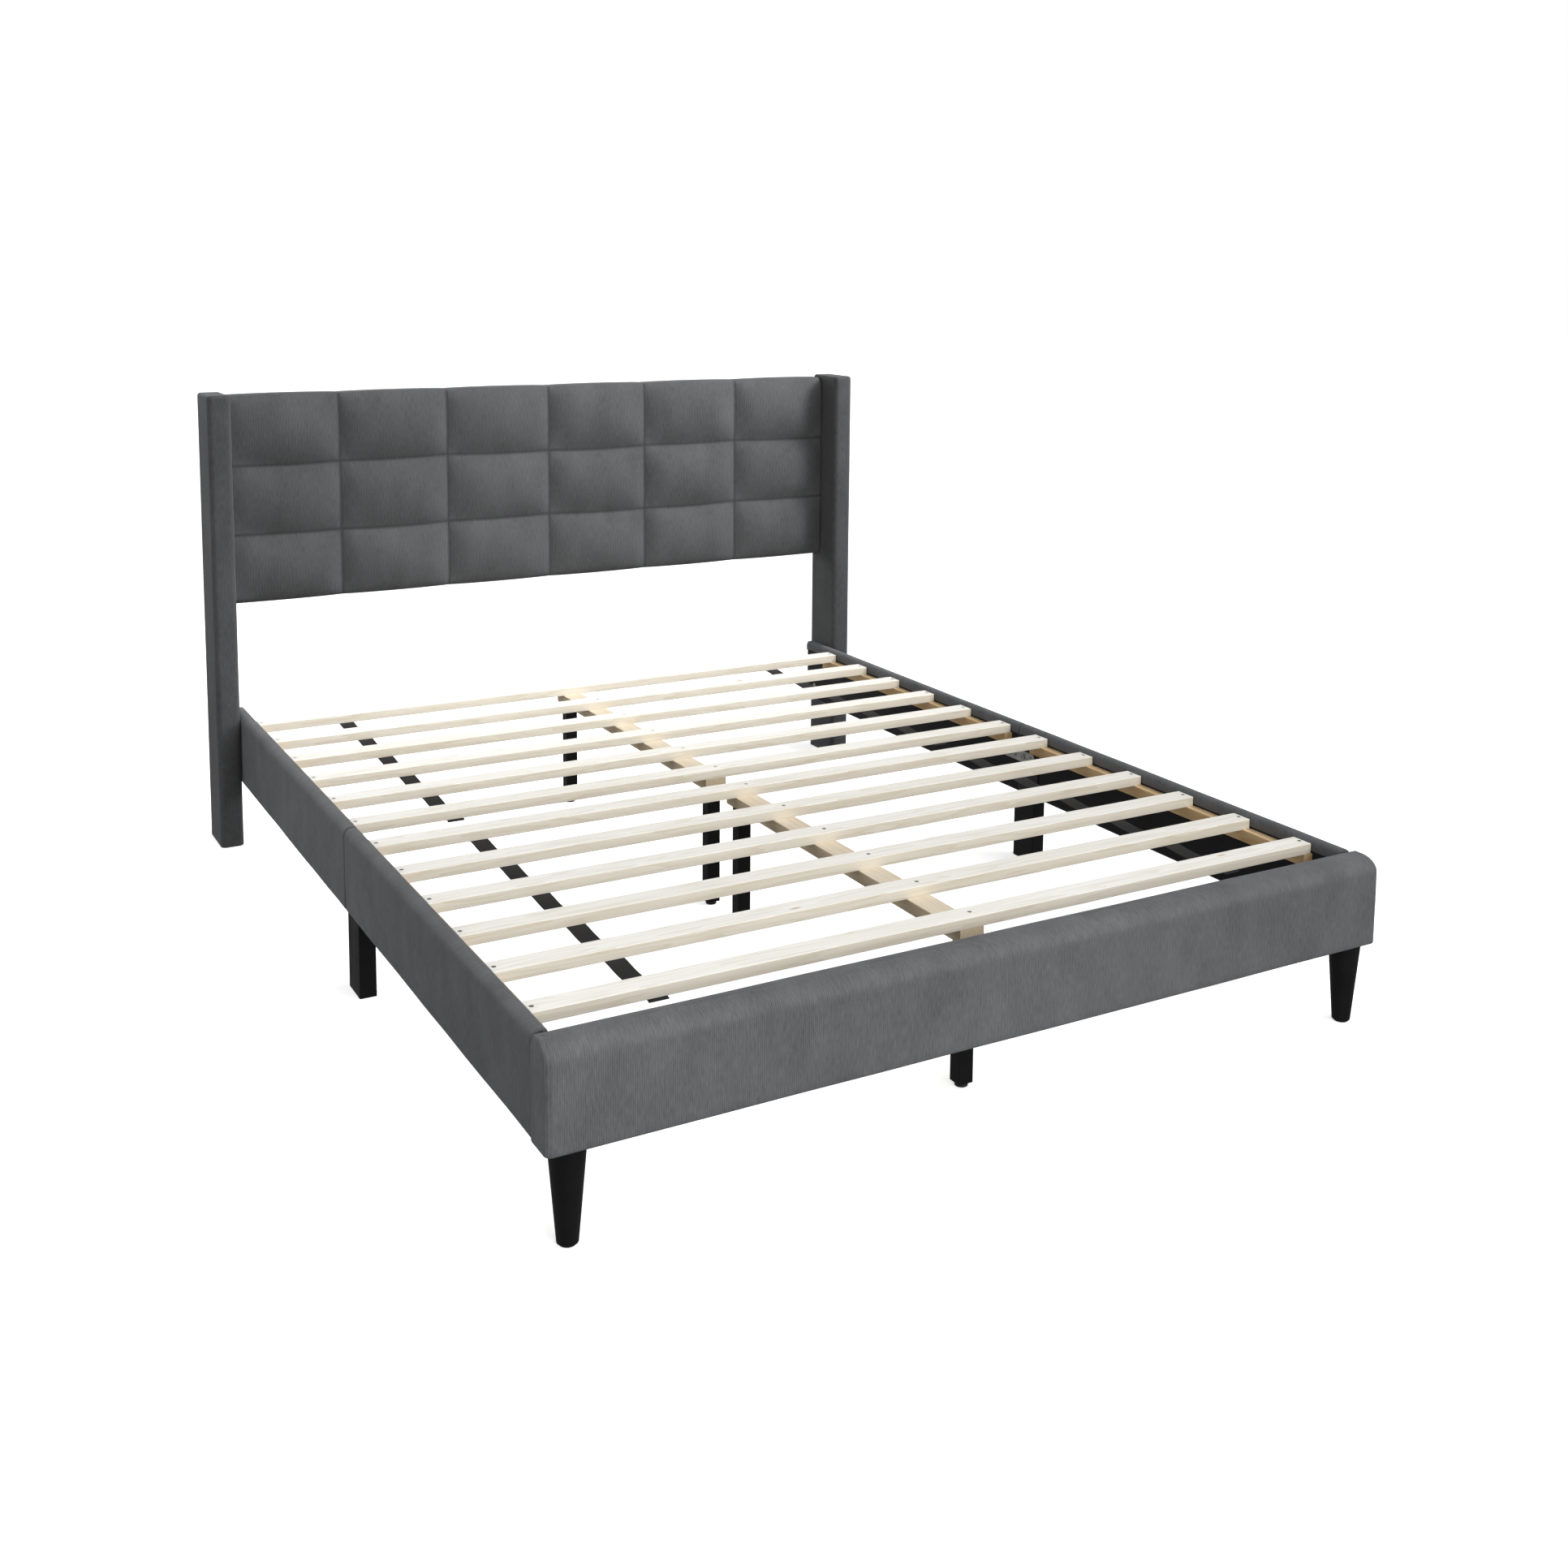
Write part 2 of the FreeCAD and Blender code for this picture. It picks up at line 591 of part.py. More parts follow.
def leg_studs():
    """Hanger bolts that hold every screwed-on leg."""
    studs = both_sides([rod(BOLT_RADIUS, *stud_line(*FRONT_LEG_STUD))])
    studs += both_sides([rod(BOLT_RADIUS, *stud_line(*MID_LEG_STUD))])
    for kit in KIT_SPANS:
        for y in centre_leg_places(kit):
            studs.append(rod(BOLT_RADIUS, *stud_line(*centre_stud(y))))
    return studs


# ---------------------------------------------------------------- footboard
FOOT_FOAM = 14.0
FOOT_BOARD = 15.0
FOOT_SIDE_FOAM = 10.0


def footboard_holes(shape):
    """Leg studs and bracket bolts, on both sides."""
    start, end = stud_line(*FRONT_LEG_STUD)
    cutters = [rod(BOLT_RADIUS + HOLE_CLEARANCE, start, (end[0], end[1], end[2] + STUD_END_ROOM))]
    start, end = foot_board_bolt_line()
    cutters.append(rod(BOLT_RADIUS + HOLE_CLEARANCE, start, (end[0], end[1] - 1, end[2])))
    for cutter in both_sides(cutters):
        shape = shape.cut(cutter)
    return shape


def footboard_frame():
    """Two boards held apart by timber blocks."""
    x1 = FOOTBOARD_X - FOOT_SIDE_FOAM
    y0, y1 = FOOT_Y + FOOT_FOAM, FOOTBOARD_BACK - FABRIC_IN
    pieces = [
        block(-x1, x1, y0, y0 + FOOT_BOARD, BOARD_BOTTOM, BOARD_TOP),
        block(-x1, x1, y1 - FOOT_BOARD, y1, BOARD_BOTTOM, BOARD_TOP),
    ]
    block_width = 120.0
    for share in (-1.0, -0.5, 0.0, 0.5, 1.0):
        middle = share * (x1 - block_width / 2)
        spacer = block(
            middle - block_width / 2, middle + block_width / 2,
            y0 + FOOT_BOARD, y1 - FOOT_BOARD, BOARD_BOTTOM, BOARD_TOP)
        pieces.append(spacer)
    return [footboard_holes(piece) for piece in pieces]


def footboard_cover():
    """Foam and ribbed fabric wrapped round the footboard frame."""
    cover = block(-FOOTBOARD_X, FOOTBOARD_X, FOOT_Y, FOOTBOARD_BACK, RAIL_BOTTOM, RAIL_TOP)
    cover = soften(cover, FOOTBOARD_CORNER, 2, y=FOOT_Y)
    tops = [e for e in cover.Edges if min(v.Z for v in e.Vertexes) > RAIL_TOP - 0.01]
    cover = cover.makeFillet(FOOTBOARD_TOP_EDGE, tops)
    x1 = FOOTBOARD_X - FOOT_SIDE_FOAM
    cover = cover.cut(block(
        -x1, x1, FOOT_Y + FOOT_FOAM, FOOTBOARD_BACK - FABRIC_IN, BOARD_BOTTOM, BOARD_TOP))
    return footboard_holes(cover)


def footboard_lining():
    """Black lining on the back of the footboard, between the rails."""
    sheet = block(
        -INNER_X, INNER_X, FOOTBOARD_BACK, FOOT_LINING_FACE,
        BOARD_BOTTOM, RAIL_TOP - WRAP_DOWN)
    return footboard_holes(sheet)


# ---------------------------------------------------------------- brackets and bolts
def foot_corner_bracket():
    """Steel angle that joins a side rail to the footboard."""
    along = block(
        LINING_FACE - PLATE, LINING_FACE, FOOT_LINING_FACE,
        FOOT_LINING_FACE + FOOT_BRACKET_REACH, FOOT_BRACKET_BOTTOM, FOOT_BRACKET_TOP)
    across = block(
        INNER_X - FOOT_BRACKET_REACH, LINING_FACE, FOOT_LINING_FACE,
        FOOT_LINING_FACE + PLATE, FOOT_BRACKET_BOTTOM, FOOT_BRACKET_TOP)
    angle = along.fuse(across).removeSplitter()
    for start, end in (foot_rail_bolt_line(), foot_board_bolt_line()):
        angle = drilled(angle, BOLT_RADIUS, start, end)
    return angle


def rail_joiner():
    """Steel plate across the seam between the two halves of a side rail."""
    plate = block(
        LINING_FACE - PLATE, LINING_FACE, RAIL_SEAM_Y - JOINER_HALF,
        RAIL_SEAM_Y + JOINER_HALF, JOINER_BOTTOM, JOINER_TOP)
    plate = soften(plate, JOINER_CORNER, 0)
    for offset in JOINER_BOLT_OFFSETS:
        start, end = joiner_bolt_line(offset)
        plate = drilled(plate, BOLT_RADIUS, start, end)
    return plate


def frame_bolts():
    """Socket-head bolts that hold the bed together."""
    lines = [head_bolt_line(z) for z in HEAD_BOLT_HEIGHTS]
    lines += [headboard_bolt_line(z) for z in HEADBOARD_BOLT_HEIGHTS]
    lines += [joiner_bolt_line(offset) for offset in JOINER_BOLT_OFFSETS]
    lines += [foot_rail_bolt_line(), foot_board_bolt_line(), mid_bracket_bolt_line()]
    return both_sides([hex_bolt(start, end) for start, end in lines])


# ---------------------------------------------------------------- the bed
def main():
    os.makedirs("parts", exist_ok=True)
    export("headboard_pad", [headboard_pad()])
    export("headboard_board", [headboard_board()])
    export("headboard_frame", headboard_frame())
    export("headboard_back_cover", [headboard_back_cover()])
    export("footboard_frame", footboard_frame())
    export("footboard_cover", [footboard_cover()])
    export("footboard_lining", [footboard_lining()])
    linings = []
    for side in SIDES:
        export(side + "_wing_post", [on_side(wing_post(), side)])
        export(side + "_wing_cover", [on_side(wing_cover(), side)])
        export(side + "_front_leg", [on_side(front_leg(), side)])
        export(side + "_mid_leg", [on_side(mid_leg(), side)])
        for half in RAIL_HALVES:
            export(side + "_rail_board_" + half, [on_side(rail_board(half), side)])
            export(side + "_rail_cover_" + half, [on_side(rail_cover(half), side)])
            export(side + "_ledger_" + half, [on_side(ledger(half), side)])
            linings.append(on_side(rail_lining(half), side))
    export("rail_linings", linings)
    for kit in KIT_SPANS:
        export("centre_beam_" + kit, [centre_beam(kit)])
        export("slat_straps_" + kit, both_sides([strap(kit)]))
    number = 0
    for kit in KIT_SPANS:
        for y in centre_leg_places(kit):
            number += 1
            export("centre_leg_%d" % number, [centre_leg(y)])
            export("levelling_glide_%d" % number, [levelling_glide(y)])
    for number, y in enumerate(slat_middles(), start=1):
        export("slat_%02d" % number, [slat(y)])
    export("slat_screws", [screw(x, y) for y in slat_middles() for x in SCREW_XS])
    export("leg_studs", leg_studs())
    export("mid_leg_brackets", both_sides([mid_leg_bracket()]))
    export("foot_corner_brackets", both_sides([foot_corner_bracket()]))
    export("rail_joiners", both_sides([rail_joiner()]))
    export("frame_bolts", frame_bolts())


main()
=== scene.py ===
import json
import math

import bmesh
import bpy
import numpy as np
from mathutils import Matrix, Vector, noise


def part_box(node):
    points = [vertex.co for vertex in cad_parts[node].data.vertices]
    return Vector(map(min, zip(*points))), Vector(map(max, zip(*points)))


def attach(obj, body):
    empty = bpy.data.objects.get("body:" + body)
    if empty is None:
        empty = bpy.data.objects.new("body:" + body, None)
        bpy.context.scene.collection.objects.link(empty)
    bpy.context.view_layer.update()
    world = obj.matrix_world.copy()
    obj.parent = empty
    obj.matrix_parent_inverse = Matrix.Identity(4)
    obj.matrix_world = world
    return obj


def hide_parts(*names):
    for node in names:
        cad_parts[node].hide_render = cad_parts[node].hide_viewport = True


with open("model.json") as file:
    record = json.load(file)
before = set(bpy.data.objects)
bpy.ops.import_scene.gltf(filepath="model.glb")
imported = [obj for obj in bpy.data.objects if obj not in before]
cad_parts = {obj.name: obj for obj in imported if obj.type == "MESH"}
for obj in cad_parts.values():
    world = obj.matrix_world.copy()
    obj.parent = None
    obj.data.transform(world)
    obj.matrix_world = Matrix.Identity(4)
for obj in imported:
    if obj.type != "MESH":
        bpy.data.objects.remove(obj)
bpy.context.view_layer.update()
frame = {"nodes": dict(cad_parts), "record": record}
nodes = frame["nodes"]

# ---------------------------------------------------------------- sizes, in metres
RAIL_TOP_OUTER_ROUND = 0.0155
RAIL_TOP_INNER_ROUND = 0.009
RAIL_BOTTOM_ROUND = 0.0035
RAIL_LIP = 0.024
LIP_THICKNESS = 0.004
LIP_FOOT_ROUND = 0.0012
RAIL_UNEVENNESS = 0.0011
RAIL_PROUD = 0.001
RAIL_SIDE_BAND = 0.02
RAIL_TOP_BAND = 0.03
END_ROUND = 0.007
END_PULL = 0.62
END_DRAWS = (0.0012, 0.003, 0.0055)
END_SHADE = 0.004

FOOT_CORNER_ROUND = 0.011
FOOT_BACK_CORNER_ROUND = 0.006
FOOT_CREST = 0.026
FOOT_FRONT_TURN = 0.036
FOOT_END_TURN = 0.006
FOOT_BACK_TURN = 0.011
FOOT_UNEVENNESS = 0.0016
FOOT_STILL_BACK = 0.012

WING_FRONT_ROUND = 0.013
WING_BACK_ROUND = 0.007
WING_TOP_ROUND = 0.008
WING_UNEVENNESS = 0.0016
WING_STILL_BACK = 0.03

HEADBOARD_COLUMNS = 6
HEADBOARD_ROWS = 3
HEADBOARD_STEP = 0.0062
SEAM_DEPTH = 0.0205
SEAM_DROOP = 0.0032
SEAM_WANDER = 0.0016
CROWN_CAP = 0.0235
CROWN_PERCENTILE = 98
CROWN_OVER = 1.05
FULLNESS = 0.95
SIDEWAYS_CAP = 0.004
EASING_PASSES = 10
BORDER_LIFT = 0.011
BORDER_WIDTH = 0.09
TURN_DEPTHS = (0.005, 0.011, 0.017, 0.024)
TURN_END = 0.031
EDGE_SCALLOP = 0.0022
EDGE_SMOOTHING_PASSES = 5
SIMULATION_FRAMES = 20

STRAP_WIDTH = 0.035
STRAP_SAG = 0.004
STRAP_TAIL_DROOP = 0.35
STRAP_STEP = 0.008

STEP = 0.012
FIRST_RING = 0.014
LAST_RING_GAP = 0.004
CUT_CLEARANCE = 0.0002
RIB_PITCH = 0.0036
WARP_PITCH = 0.0021
WEFT_PITCH = 0.0016

FLOOR_HALF = 30.0
DIM_SKY = 0.2

# where the camera stands and looks; its angles are in radians and its lens in millimetres
EYE = (-1.6956, -3.2775, 1.4479)
HEADING, PITCH, ROLL = 0.5109, 0.1229, 0.0083
LENS = 39.642
LENS_SHIFT = -0.2


# ---------------------------------------------------------------- node trees
class Tree:
    """Short way to write a material's node tree."""

    def __init__(self, name):
        self.material = bpy.data.materials.new(name)
        self.material.use_nodes = True
        self.nodes = self.material.node_tree.nodes
        self.links = self.material.node_tree.links
        self.shader = self.nodes["Principled BSDF"]

    def feed(self, node, socket, value):
        """Set an input of a node, or link it where the value is another node's output."""
        target = node.inputs[socket]
        if isinstance(value, bpy.types.NodeSocket):
            self.links.new(value, target)
        else:
            target.default_value = value

    def math(self, operation, a, b=0.0, c=0.0, clamp=False):
        node = self.nodes.new("ShaderNodeMath")
        node.operation = operation
        node.use_clamp = clamp
        for index, value in enumerate((a, b, c)):
            self.feed(node, index, value)
        return node.outputs[0]

    def mix(self, share, a, b, blend="MIX"):
        """Mix two colours; sockets 6 and 7, and output 2, are the node's colour ones."""
        node = self.nodes.new("ShaderNodeMix")
        node.data_type = "RGBA"
        node.blend_type = blend
        self.feed(node, 0, share)
        self.feed(node, 6, a)
        self.feed(node, 7, b)
        return node.outputs[2]

    def remap(self, value, low, high, out_low=0.0, out_high=1.0):
        node = self.nodes.new("ShaderNodeMapRange")
        for key, number in (("Value", value), ("From Min", low), ("From Max", high),
                            ("To Min", out_low), ("To Max", out_high)):
            self.feed(node, key, number)
        return node.outputs[0]

    def axes(self, vector):
        node = self.nodes.new("ShaderNodeSeparateXYZ")
        self.feed(node, 0, vector)
        return node.outputs

    def vector(self, x=0.0, y=0.0, z=0.0):
        node = self.nodes.new("ShaderNodeCombineXYZ")
        for index, value in enumerate((x, y, z)):
            self.feed(node, index, value)
        return node.outputs[0]

    def stretched(self, *pairs):
        """Vector of coordinates, each given with the factor that it is multiplied by."""
        return self.vector(*[self.math("MULTIPLY", value, factor) for value, factor in pairs])

    def noise(self, vector, scale, detail=2.0, roughness=0.5):
        node = self.nodes.new("ShaderNodeTexNoise")
        self.feed(node, "Vector", vector)
        self.feed(node, "Scale", scale)
        self.feed(node, "Detail", detail)
        self.feed(node, "Roughness", roughness)
        return node.outputs["Fac"]

    def place(self):
        return self.nodes.new("ShaderNodeTexCoord").outputs["Object"]

    def bump(self, height, distance, strength):
        node = self.nodes.new("ShaderNodeBump")
        self.feed(node, "Height", height)
        self.feed(node, "Distance", distance)
        self.feed(node, "Strength", strength)
        return node.outputs[0]

    def finish(self, colour, roughness, normal=None, **settings):
        self.feed(self.shader, "Base Color", colour)
        self.feed(self.shader, "Roughness", roughness)
        if normal is not None:
            self.feed(self.shader, "Normal", normal)
        for key, value in settings.items():
            self.shader.inputs[key.replace("_", " ")].default_value = value
        return self.material


def rgb(red, green, blue):
    """Linear colour from 0-255 display values."""
    def linear(value):
        value /= 255
        return value / 12.92 if value <= 0.04045 else ((value + 0.055) / 1.055) ** 2.4
    return (linear(red), linear(green), linear(blue), 1.0)


# ---------------------------------------------------------------- materials
def corduroy(name, shade=1.0):
    """Fine-ribbed grey pile, darkened by the shade factor, which is partly painted shade. The cloth
    attribute holds metres across and along the ribs, and painted shade for the seams.
    """
    t = Tree(name)
    cloth = t.nodes.new("ShaderNodeAttribute")
    cloth.attribute_name = "cloth"
    across, along, seam = t.axes(cloth.outputs["Vector"])
    place = t.place()
    wander = t.math("SUBTRACT", t.noise(t.vector(across, along), 14.0), 0.5)
    sway = t.math("MULTIPLY", wander, 0.0016)
    phase = t.math("MULTIPLY", t.math("ADD", across, sway), 2 * math.pi / RIB_PITCH)
    rib = t.math("MULTIPLY_ADD", t.math("SINE", phase), 0.5, 0.5)
    streak = t.noise(t.stretched((across, 300.0), (along, 55.0)), 1.0, 3.0, 0.65)
    patch = t.noise(t.stretched((across, 16.0), (along, 7.0)), 1.0, 4.0, 0.55)
    broad = t.noise(place, 3.2, 3.0, 0.5)
    pile = t.noise(place, 900.0, 2.0, 0.6)
    # the shade factor darkens this piece's copy: partly the pile's direction, partly painted shade for
    # weaker light on the piece
    dark = rgb(64 * shade, 65 * shade, 66 * shade)
    light = rgb(112 * shade, 113 * shade, 115 * shade)
    tone = t.math("MULTIPLY", rib, 0.17)
    tone = t.math("MULTIPLY_ADD", streak, 0.62, tone)
    tone = t.math("MULTIPLY_ADD", patch, 0.45, tone)
    tone = t.math("MULTIPLY_ADD", broad, 0.25, tone)
    tone = t.remap(tone, 0.38, 1.12)
    colour = t.mix(tone, dark, light)
    # painted shade: the cloth attribute's third value darkens the seams and the rail ends toward near
    # black, standing for the shade in those hollows
    colour = t.mix(t.math("MULTIPLY", seam, 0.6), colour, rgb(26, 26, 27))
    height = t.math("MULTIPLY_ADD", pile, 0.35, t.math("MULTIPLY_ADD", streak, 0.6, rib))
    normal = t.bump(height, 0.0007, 0.36)
    rough = t.remap(tone, 0.0, 1.0, 0.94, 0.82)
    return t.finish(colour, rough, normal, Sheen_Weight=0.15, Sheen_Roughness=0.45,
                    Sheen_Tint=rgb(212, 214, 218), Specular_IOR_Level=0.25)


def pine(name, knots, pale, late, runs_in_x=False):
    """Planed softwood whose upright faces get painted shade, darker and warmer than the tops.

    The grain runs along X in slats, and along Y in cleats and beams.
    """
    t = Tree(name)
    x, y, z = t.axes(t.place())
    along, side = (x, y) if runs_in_x else (y, x)
    pieces_per_metre = 1 / 0.166 if runs_in_x else 2.5
    piece = t.math("FLOOR", t.math("MULTIPLY", side, pieces_per_metre))
    shifted = t.math("MULTIPLY_ADD", piece, 3.17, along)
    wander = t.noise(t.stretched((shifted, 2.2), (side, 34.0), (z, 34.0)), 1.0, 2.0)
    rings = t.math("FRACT", t.math("MULTIPLY_ADD", wander, 7.0, t.math("MULTIPLY", side, 40.0)))
    rings = t.math("POWER", rings, 2.2)
    fibre = t.noise(t.stretched((shifted, 30.0), (side, 900.0), (z, 900.0)), 1.0, 2.0, 0.6)
    board = t.noise(t.stretched((piece, 7.3), (along, 1.3)), 1.0, 1.0)
    tone = t.math("MULTIPLY", rings, 0.42)
    tone = t.math("MULTIPLY_ADD", fibre, 0.3, tone)
    tone = t.math("MULTIPLY_ADD", board, 0.45, tone)
    tone = t.remap(tone, 0.25, 1.05)
    colour = t.mix(tone, pale, late)
    cell = t.nodes.new("ShaderNodeTexVoronoi")
    t.feed(cell, "Vector", t.stretched((shifted, 2.6), (side, 9.0), (z, 4.0)))
    t.feed(cell, "Scale", 1.0)
    t.feed(cell, "Randomness", 1.0)
    knot = t.remap(cell.outputs["Distance"], knots, knots * 0.35)
    colour = t.mix(knot, colour, rgb(176, 128, 78))
    colour = t.mix(t.remap(cell.outputs["Distance"], knots * 0.4, 0.0), colour, rgb(120, 78, 42))
    # painted shade: faces that are not level are multiplied toward the side tint, so they read darker
    # and warmer than the lit tops
    facing = t.nodes.new("ShaderNodeTexCoord").outputs["Normal"]
    upright = t.math("SUBTRACT", 1.0, t.math("ABSOLUTE", t.axes(facing)[2]), clamp=True)
    colour = t.mix(upright, colour, t.mix(1.0, colour, PAINTED_SIDE_SHADE, "MULTIPLY"))
    normal = t.bump(t.math("MULTIPLY_ADD", fibre, 0.6, rings), 0.00025, 0.35)
    return t.finish(colour, t.remap(fibre, 0.2, 0.8, 0.5, 0.66), normal, Specular_IOR_Level=0.35)


def painted_wood(name):
    """Satin black lacquer over turned and planed wood."""
    t = Tree(name)
    x, y, z = t.axes(t.place())
    fibre = t.noise(t.stretched((x, 500.0), (y, 500.0), (z, 22.0)), 1.0, 3.0, 0.6)
    haze = t.noise(t.place(), 26.0, 3.0)
    colour = t.mix(haze, rgb(11, 11, 11), rgb(18, 18, 18))
    rough = t.remap(haze, 0.3, 0.7, 0.42, 0.54)
    return t.finish(colour, rough, t.bump(fibre, 0.0003, 0.3), Specular_IOR_Level=0.2)


def powder_coat(name):
    """Black powder-coated steel with its fine orange peel."""
    t = Tree(name)
    peel = t.noise(t.place(), 1400.0, 2.0)
    haze = t.noise(t.place(), 40.0, 2.0)
    colour = t.mix(haze, rgb(20, 20, 21), rgb(31, 31, 33))
    return t.finish(colour, t.remap(haze, 0.3, 0.7, 0.38, 0.5), t.bump(peel, 0.0002, 0.4),
                    Metallic=0.2, Specular_IOR_Level=0.5)


def lining(name):
    """Black non-woven dust cloth: pressed dots and loose fibres."""
    t = Tree(name)
    cell = t.nodes.new("ShaderNodeTexVoronoi")
    t.feed(cell, "Vector", t.place())
    t.feed(cell, "Scale", 420.0)
    t.feed(cell, "Randomness", 0.25)
    dots = t.remap(cell.outputs["Distance"], 0.18, 0.42)
    fibre = t.noise(t.place(), 700.0, 4.0, 0.7)
    slack = t.noise(t.place(), 9.0, 2.0)
    tone = t.math("MULTIPLY_ADD", slack, 0.5, t.math("MULTIPLY", t.math("ADD", dots, fibre), 0.35))
    colour = t.mix(tone, rgb(12, 12, 13), rgb(38, 38, 40))
    height = t.math("MULTIPLY_ADD", slack, 4.0, t.math("ADD", dots, fibre))
    return t.finish(colour, 0.82, t.bump(height, 0.0004, 0.5), Specular_IOR_Level=0.25)


def webbing(name):
    """Black woven polypropylene tape; the cloth attribute runs across and along it."""
    t = Tree(name)
    cloth = t.nodes.new("ShaderNodeAttribute")
    cloth.attribute_name = "cloth"
    across, along, _ = t.axes(cloth.outputs["Vector"])
    warp = t.math("SINE", t.math("MULTIPLY", across, 2 * math.pi / WARP_PITCH))
    weft = t.math("SINE", t.math("MULTIPLY", along, 2 * math.pi / WEFT_PITCH))
    weave = t.math("MULTIPLY_ADD", t.math("MULTIPLY", warp, weft), 0.5, 0.5)
    fuzz = t.noise(t.place(), 1500.0, 2.0)
    colour = t.mix(t.math("MULTIPLY_ADD", fuzz, 0.3, t.math("MULTIPLY", weave, 0.6)),
                   rgb(9, 9, 10), rgb(31, 31, 34))
    return t.finish(colour, 0.68, t.bump(weave, 0.0005, 0.7), Specular_IOR_Level=0.35)


def zinc(name):
    """Zinc-plated steel with cloudy passivation and fine scratches."""
    t = Tree(name)
    cloud = t.noise(t.place(), 55.0, 4.0, 0.6)
    x, y, z = t.axes(t.place())
    scratch = t.noise(t.stretched((x, 90.0), (y, 90.0), (z, 1600.0)), 1.0, 2.0)
    colour = t.mix(cloud, rgb(178, 180, 180), rgb(214, 213, 205))
    return t.finish(colour, t.remap(cloud, 0.3, 0.7, 0.26, 0.44), t.bump(scratch, 0.0001, 0.25),
                    Metallic=1.0)


def plywood(name):
    """Engineered board: pressed strands in several browns."""
    t = Tree(name)
    x, y, z = t.axes(t.place())
    strands = t.nodes.new("ShaderNodeTexVoronoi")
    t.feed(strands, "Vector", t.stretched((x, 22.0), (y, 14.0), (z, 26.0)))
    t.feed(strands, "Scale", 1.0)
    value = t.axes(strands.outputs["Color"])[0]
    fibre = t.noise(t.place(), 260.0, 3.0)
    colour = t.mix(value, rgb(196, 158, 110), rgb(226, 194, 148))
    colour = t.mix(t.math("MULTIPLY", fibre, 0.35), colour, rgb(150, 112, 72))
    return t.finish(colour, t.remap(fibre, 0.2, 0.8, 0.6, 0.75), t.bump(fibre, 0.0003, 0.4))


def moulded_plastic(name):
    """Black moulded plastic with a fine spark-eroded texture and light scuffs."""
    t = Tree(name)
    grain = t.noise(t.place(), 1800.0, 2.0)
    scuff = t.noise(t.place(), 120.0, 4.0, 0.7)
    colour = t.mix(scuff, rgb(22, 22, 23), rgb(36, 36, 38))
    return t.finish(colour, t.remap(scuff, 0.3, 0.7, 0.42, 0.6), t.bump(grain, 0.00015, 0.3))


# painted shade for the upright faces of the pine
PAINTED_SIDE_SHADE = (0.86, 0.81, 0.73, 1.0)
WARM_PALE, WARM_LATE = rgb(218, 192, 152), rgb(196, 158, 110)
# copies of one corduroy, darkened per piece by the shade factor: partly the pile's direction on that
# piece, partly painted shade for the weaker light on the headboard, wings and rails
GREY = corduroy("grey_corduroy")
GREY_HEADBOARD = corduroy("grey_corduroy_headboard", 0.77)
GREY_WING = corduroy("grey_corduroy_wing", 0.72)
GREY_RAIL = corduroy("grey_corduroy_rail", 0.93)
SLAT_PINE = pine("slat_pine", 0.045, rgb(242, 241, 236), rgb(219, 212, 197), runs_in_x=True)
BEAM_PINE = pine("knotty_pine", 0.11, rgb(222, 210, 190), rgb(204, 186, 158))
LEDGER_PINE = pine("knotty_pine_cleats", 0.11, WARM_PALE, WARM_LATE)
FRAME_TIMBER = pine("frame_timber", 0.08, WARM_PALE, WARM_LATE)
BLACK_WOOD = painted_wood("black_leg")
BLACK_STEEL = powder_coat("black_steel")
LINING = lining("black_lining")
WEBBING = webbing("black_webbing")
ZINC = zinc("zinc_steel")
BOARD = plywood("engineered_board")
BLACK_PLASTIC = moulded_plastic("glide_plastic")

CAD_FINISHES = {
    "slat_pine": SLAT_PINE, "knotty_pine": BEAM_PINE, "frame_timber": FRAME_TIMBER,
    "black_leg": BLACK_WOOD, "black_steel": BLACK_STEEL, "black_lining": LINING,
    "black_webbing": LINING, "zinc_steel": ZINC, "engineered_board": BOARD,
    "glide_plastic": BLACK_PLASTIC, "grey_corduroy": GREY,
}


def paint_cad_nodes():
    """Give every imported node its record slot's finish; the ledgers take the warmer pine."""
    for part in frame["record"]["subparts"]:
        node = nodes[part["node"]]
        finish = LEDGER_PINE if "ledger" in part["node"] else CAD_FINISHES[part["material_slot"]]
        node.data.materials.clear()
        node.data.materials.append(finish)


# ---------------------------------------------------------------- mesh helpers
def linked(name, data):
    """New object in the scene."""
    made = bpy.data.objects.new(name, data)
    bpy.context.scene.collection.objects.link(made)
    return made


def new_piece(name, mesh, material, smooth=True):
    """New visible piece of the bed, which rides on its frame."""
    piece = linked(name, mesh)
    piece.data.materials.append(material)
    for polygon in piece.data.polygons:
        polygon.use_smooth = smooth
    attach(piece, "bed_frame")
    return piece


def upholstery(node):
    """Hide the CAD cover that the padded grey fabric stands for."""
    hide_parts(node)


def unit(value):
    """The value kept between 0 and 1."""
    return max(0.0, min(1.0, value))


def set_cloth(mesh, values):
    """Store metres across the ribs, metres along them and the painted shade of seams and ends at each
    point.
    """
    layer = mesh.attributes.new("cloth", "FLOAT_VECTOR", "POINT")
    layer.data.foreach_set("vector", np.asarray(values, np.float32).ravel())


def face_outwards(mesh):
    """Turn every face's normal to the outside."""
    bm = bmesh.new()
    bm.from_mesh(mesh)
    bmesh.ops.recalc_face_normals(bm, faces=bm.faces)
    bm.to_mesh(mesh)
    bm.free()


def apply_modifiers(piece):
    """Keep the shape that the modifiers give, and drop them."""
    graph = bpy.context.evaluated_depsgraph_get()
    mesh = bpy.data.meshes.new_from_object(piece.evaluated_get(graph))
    piece.modifiers.clear()
    piece.data = mesh


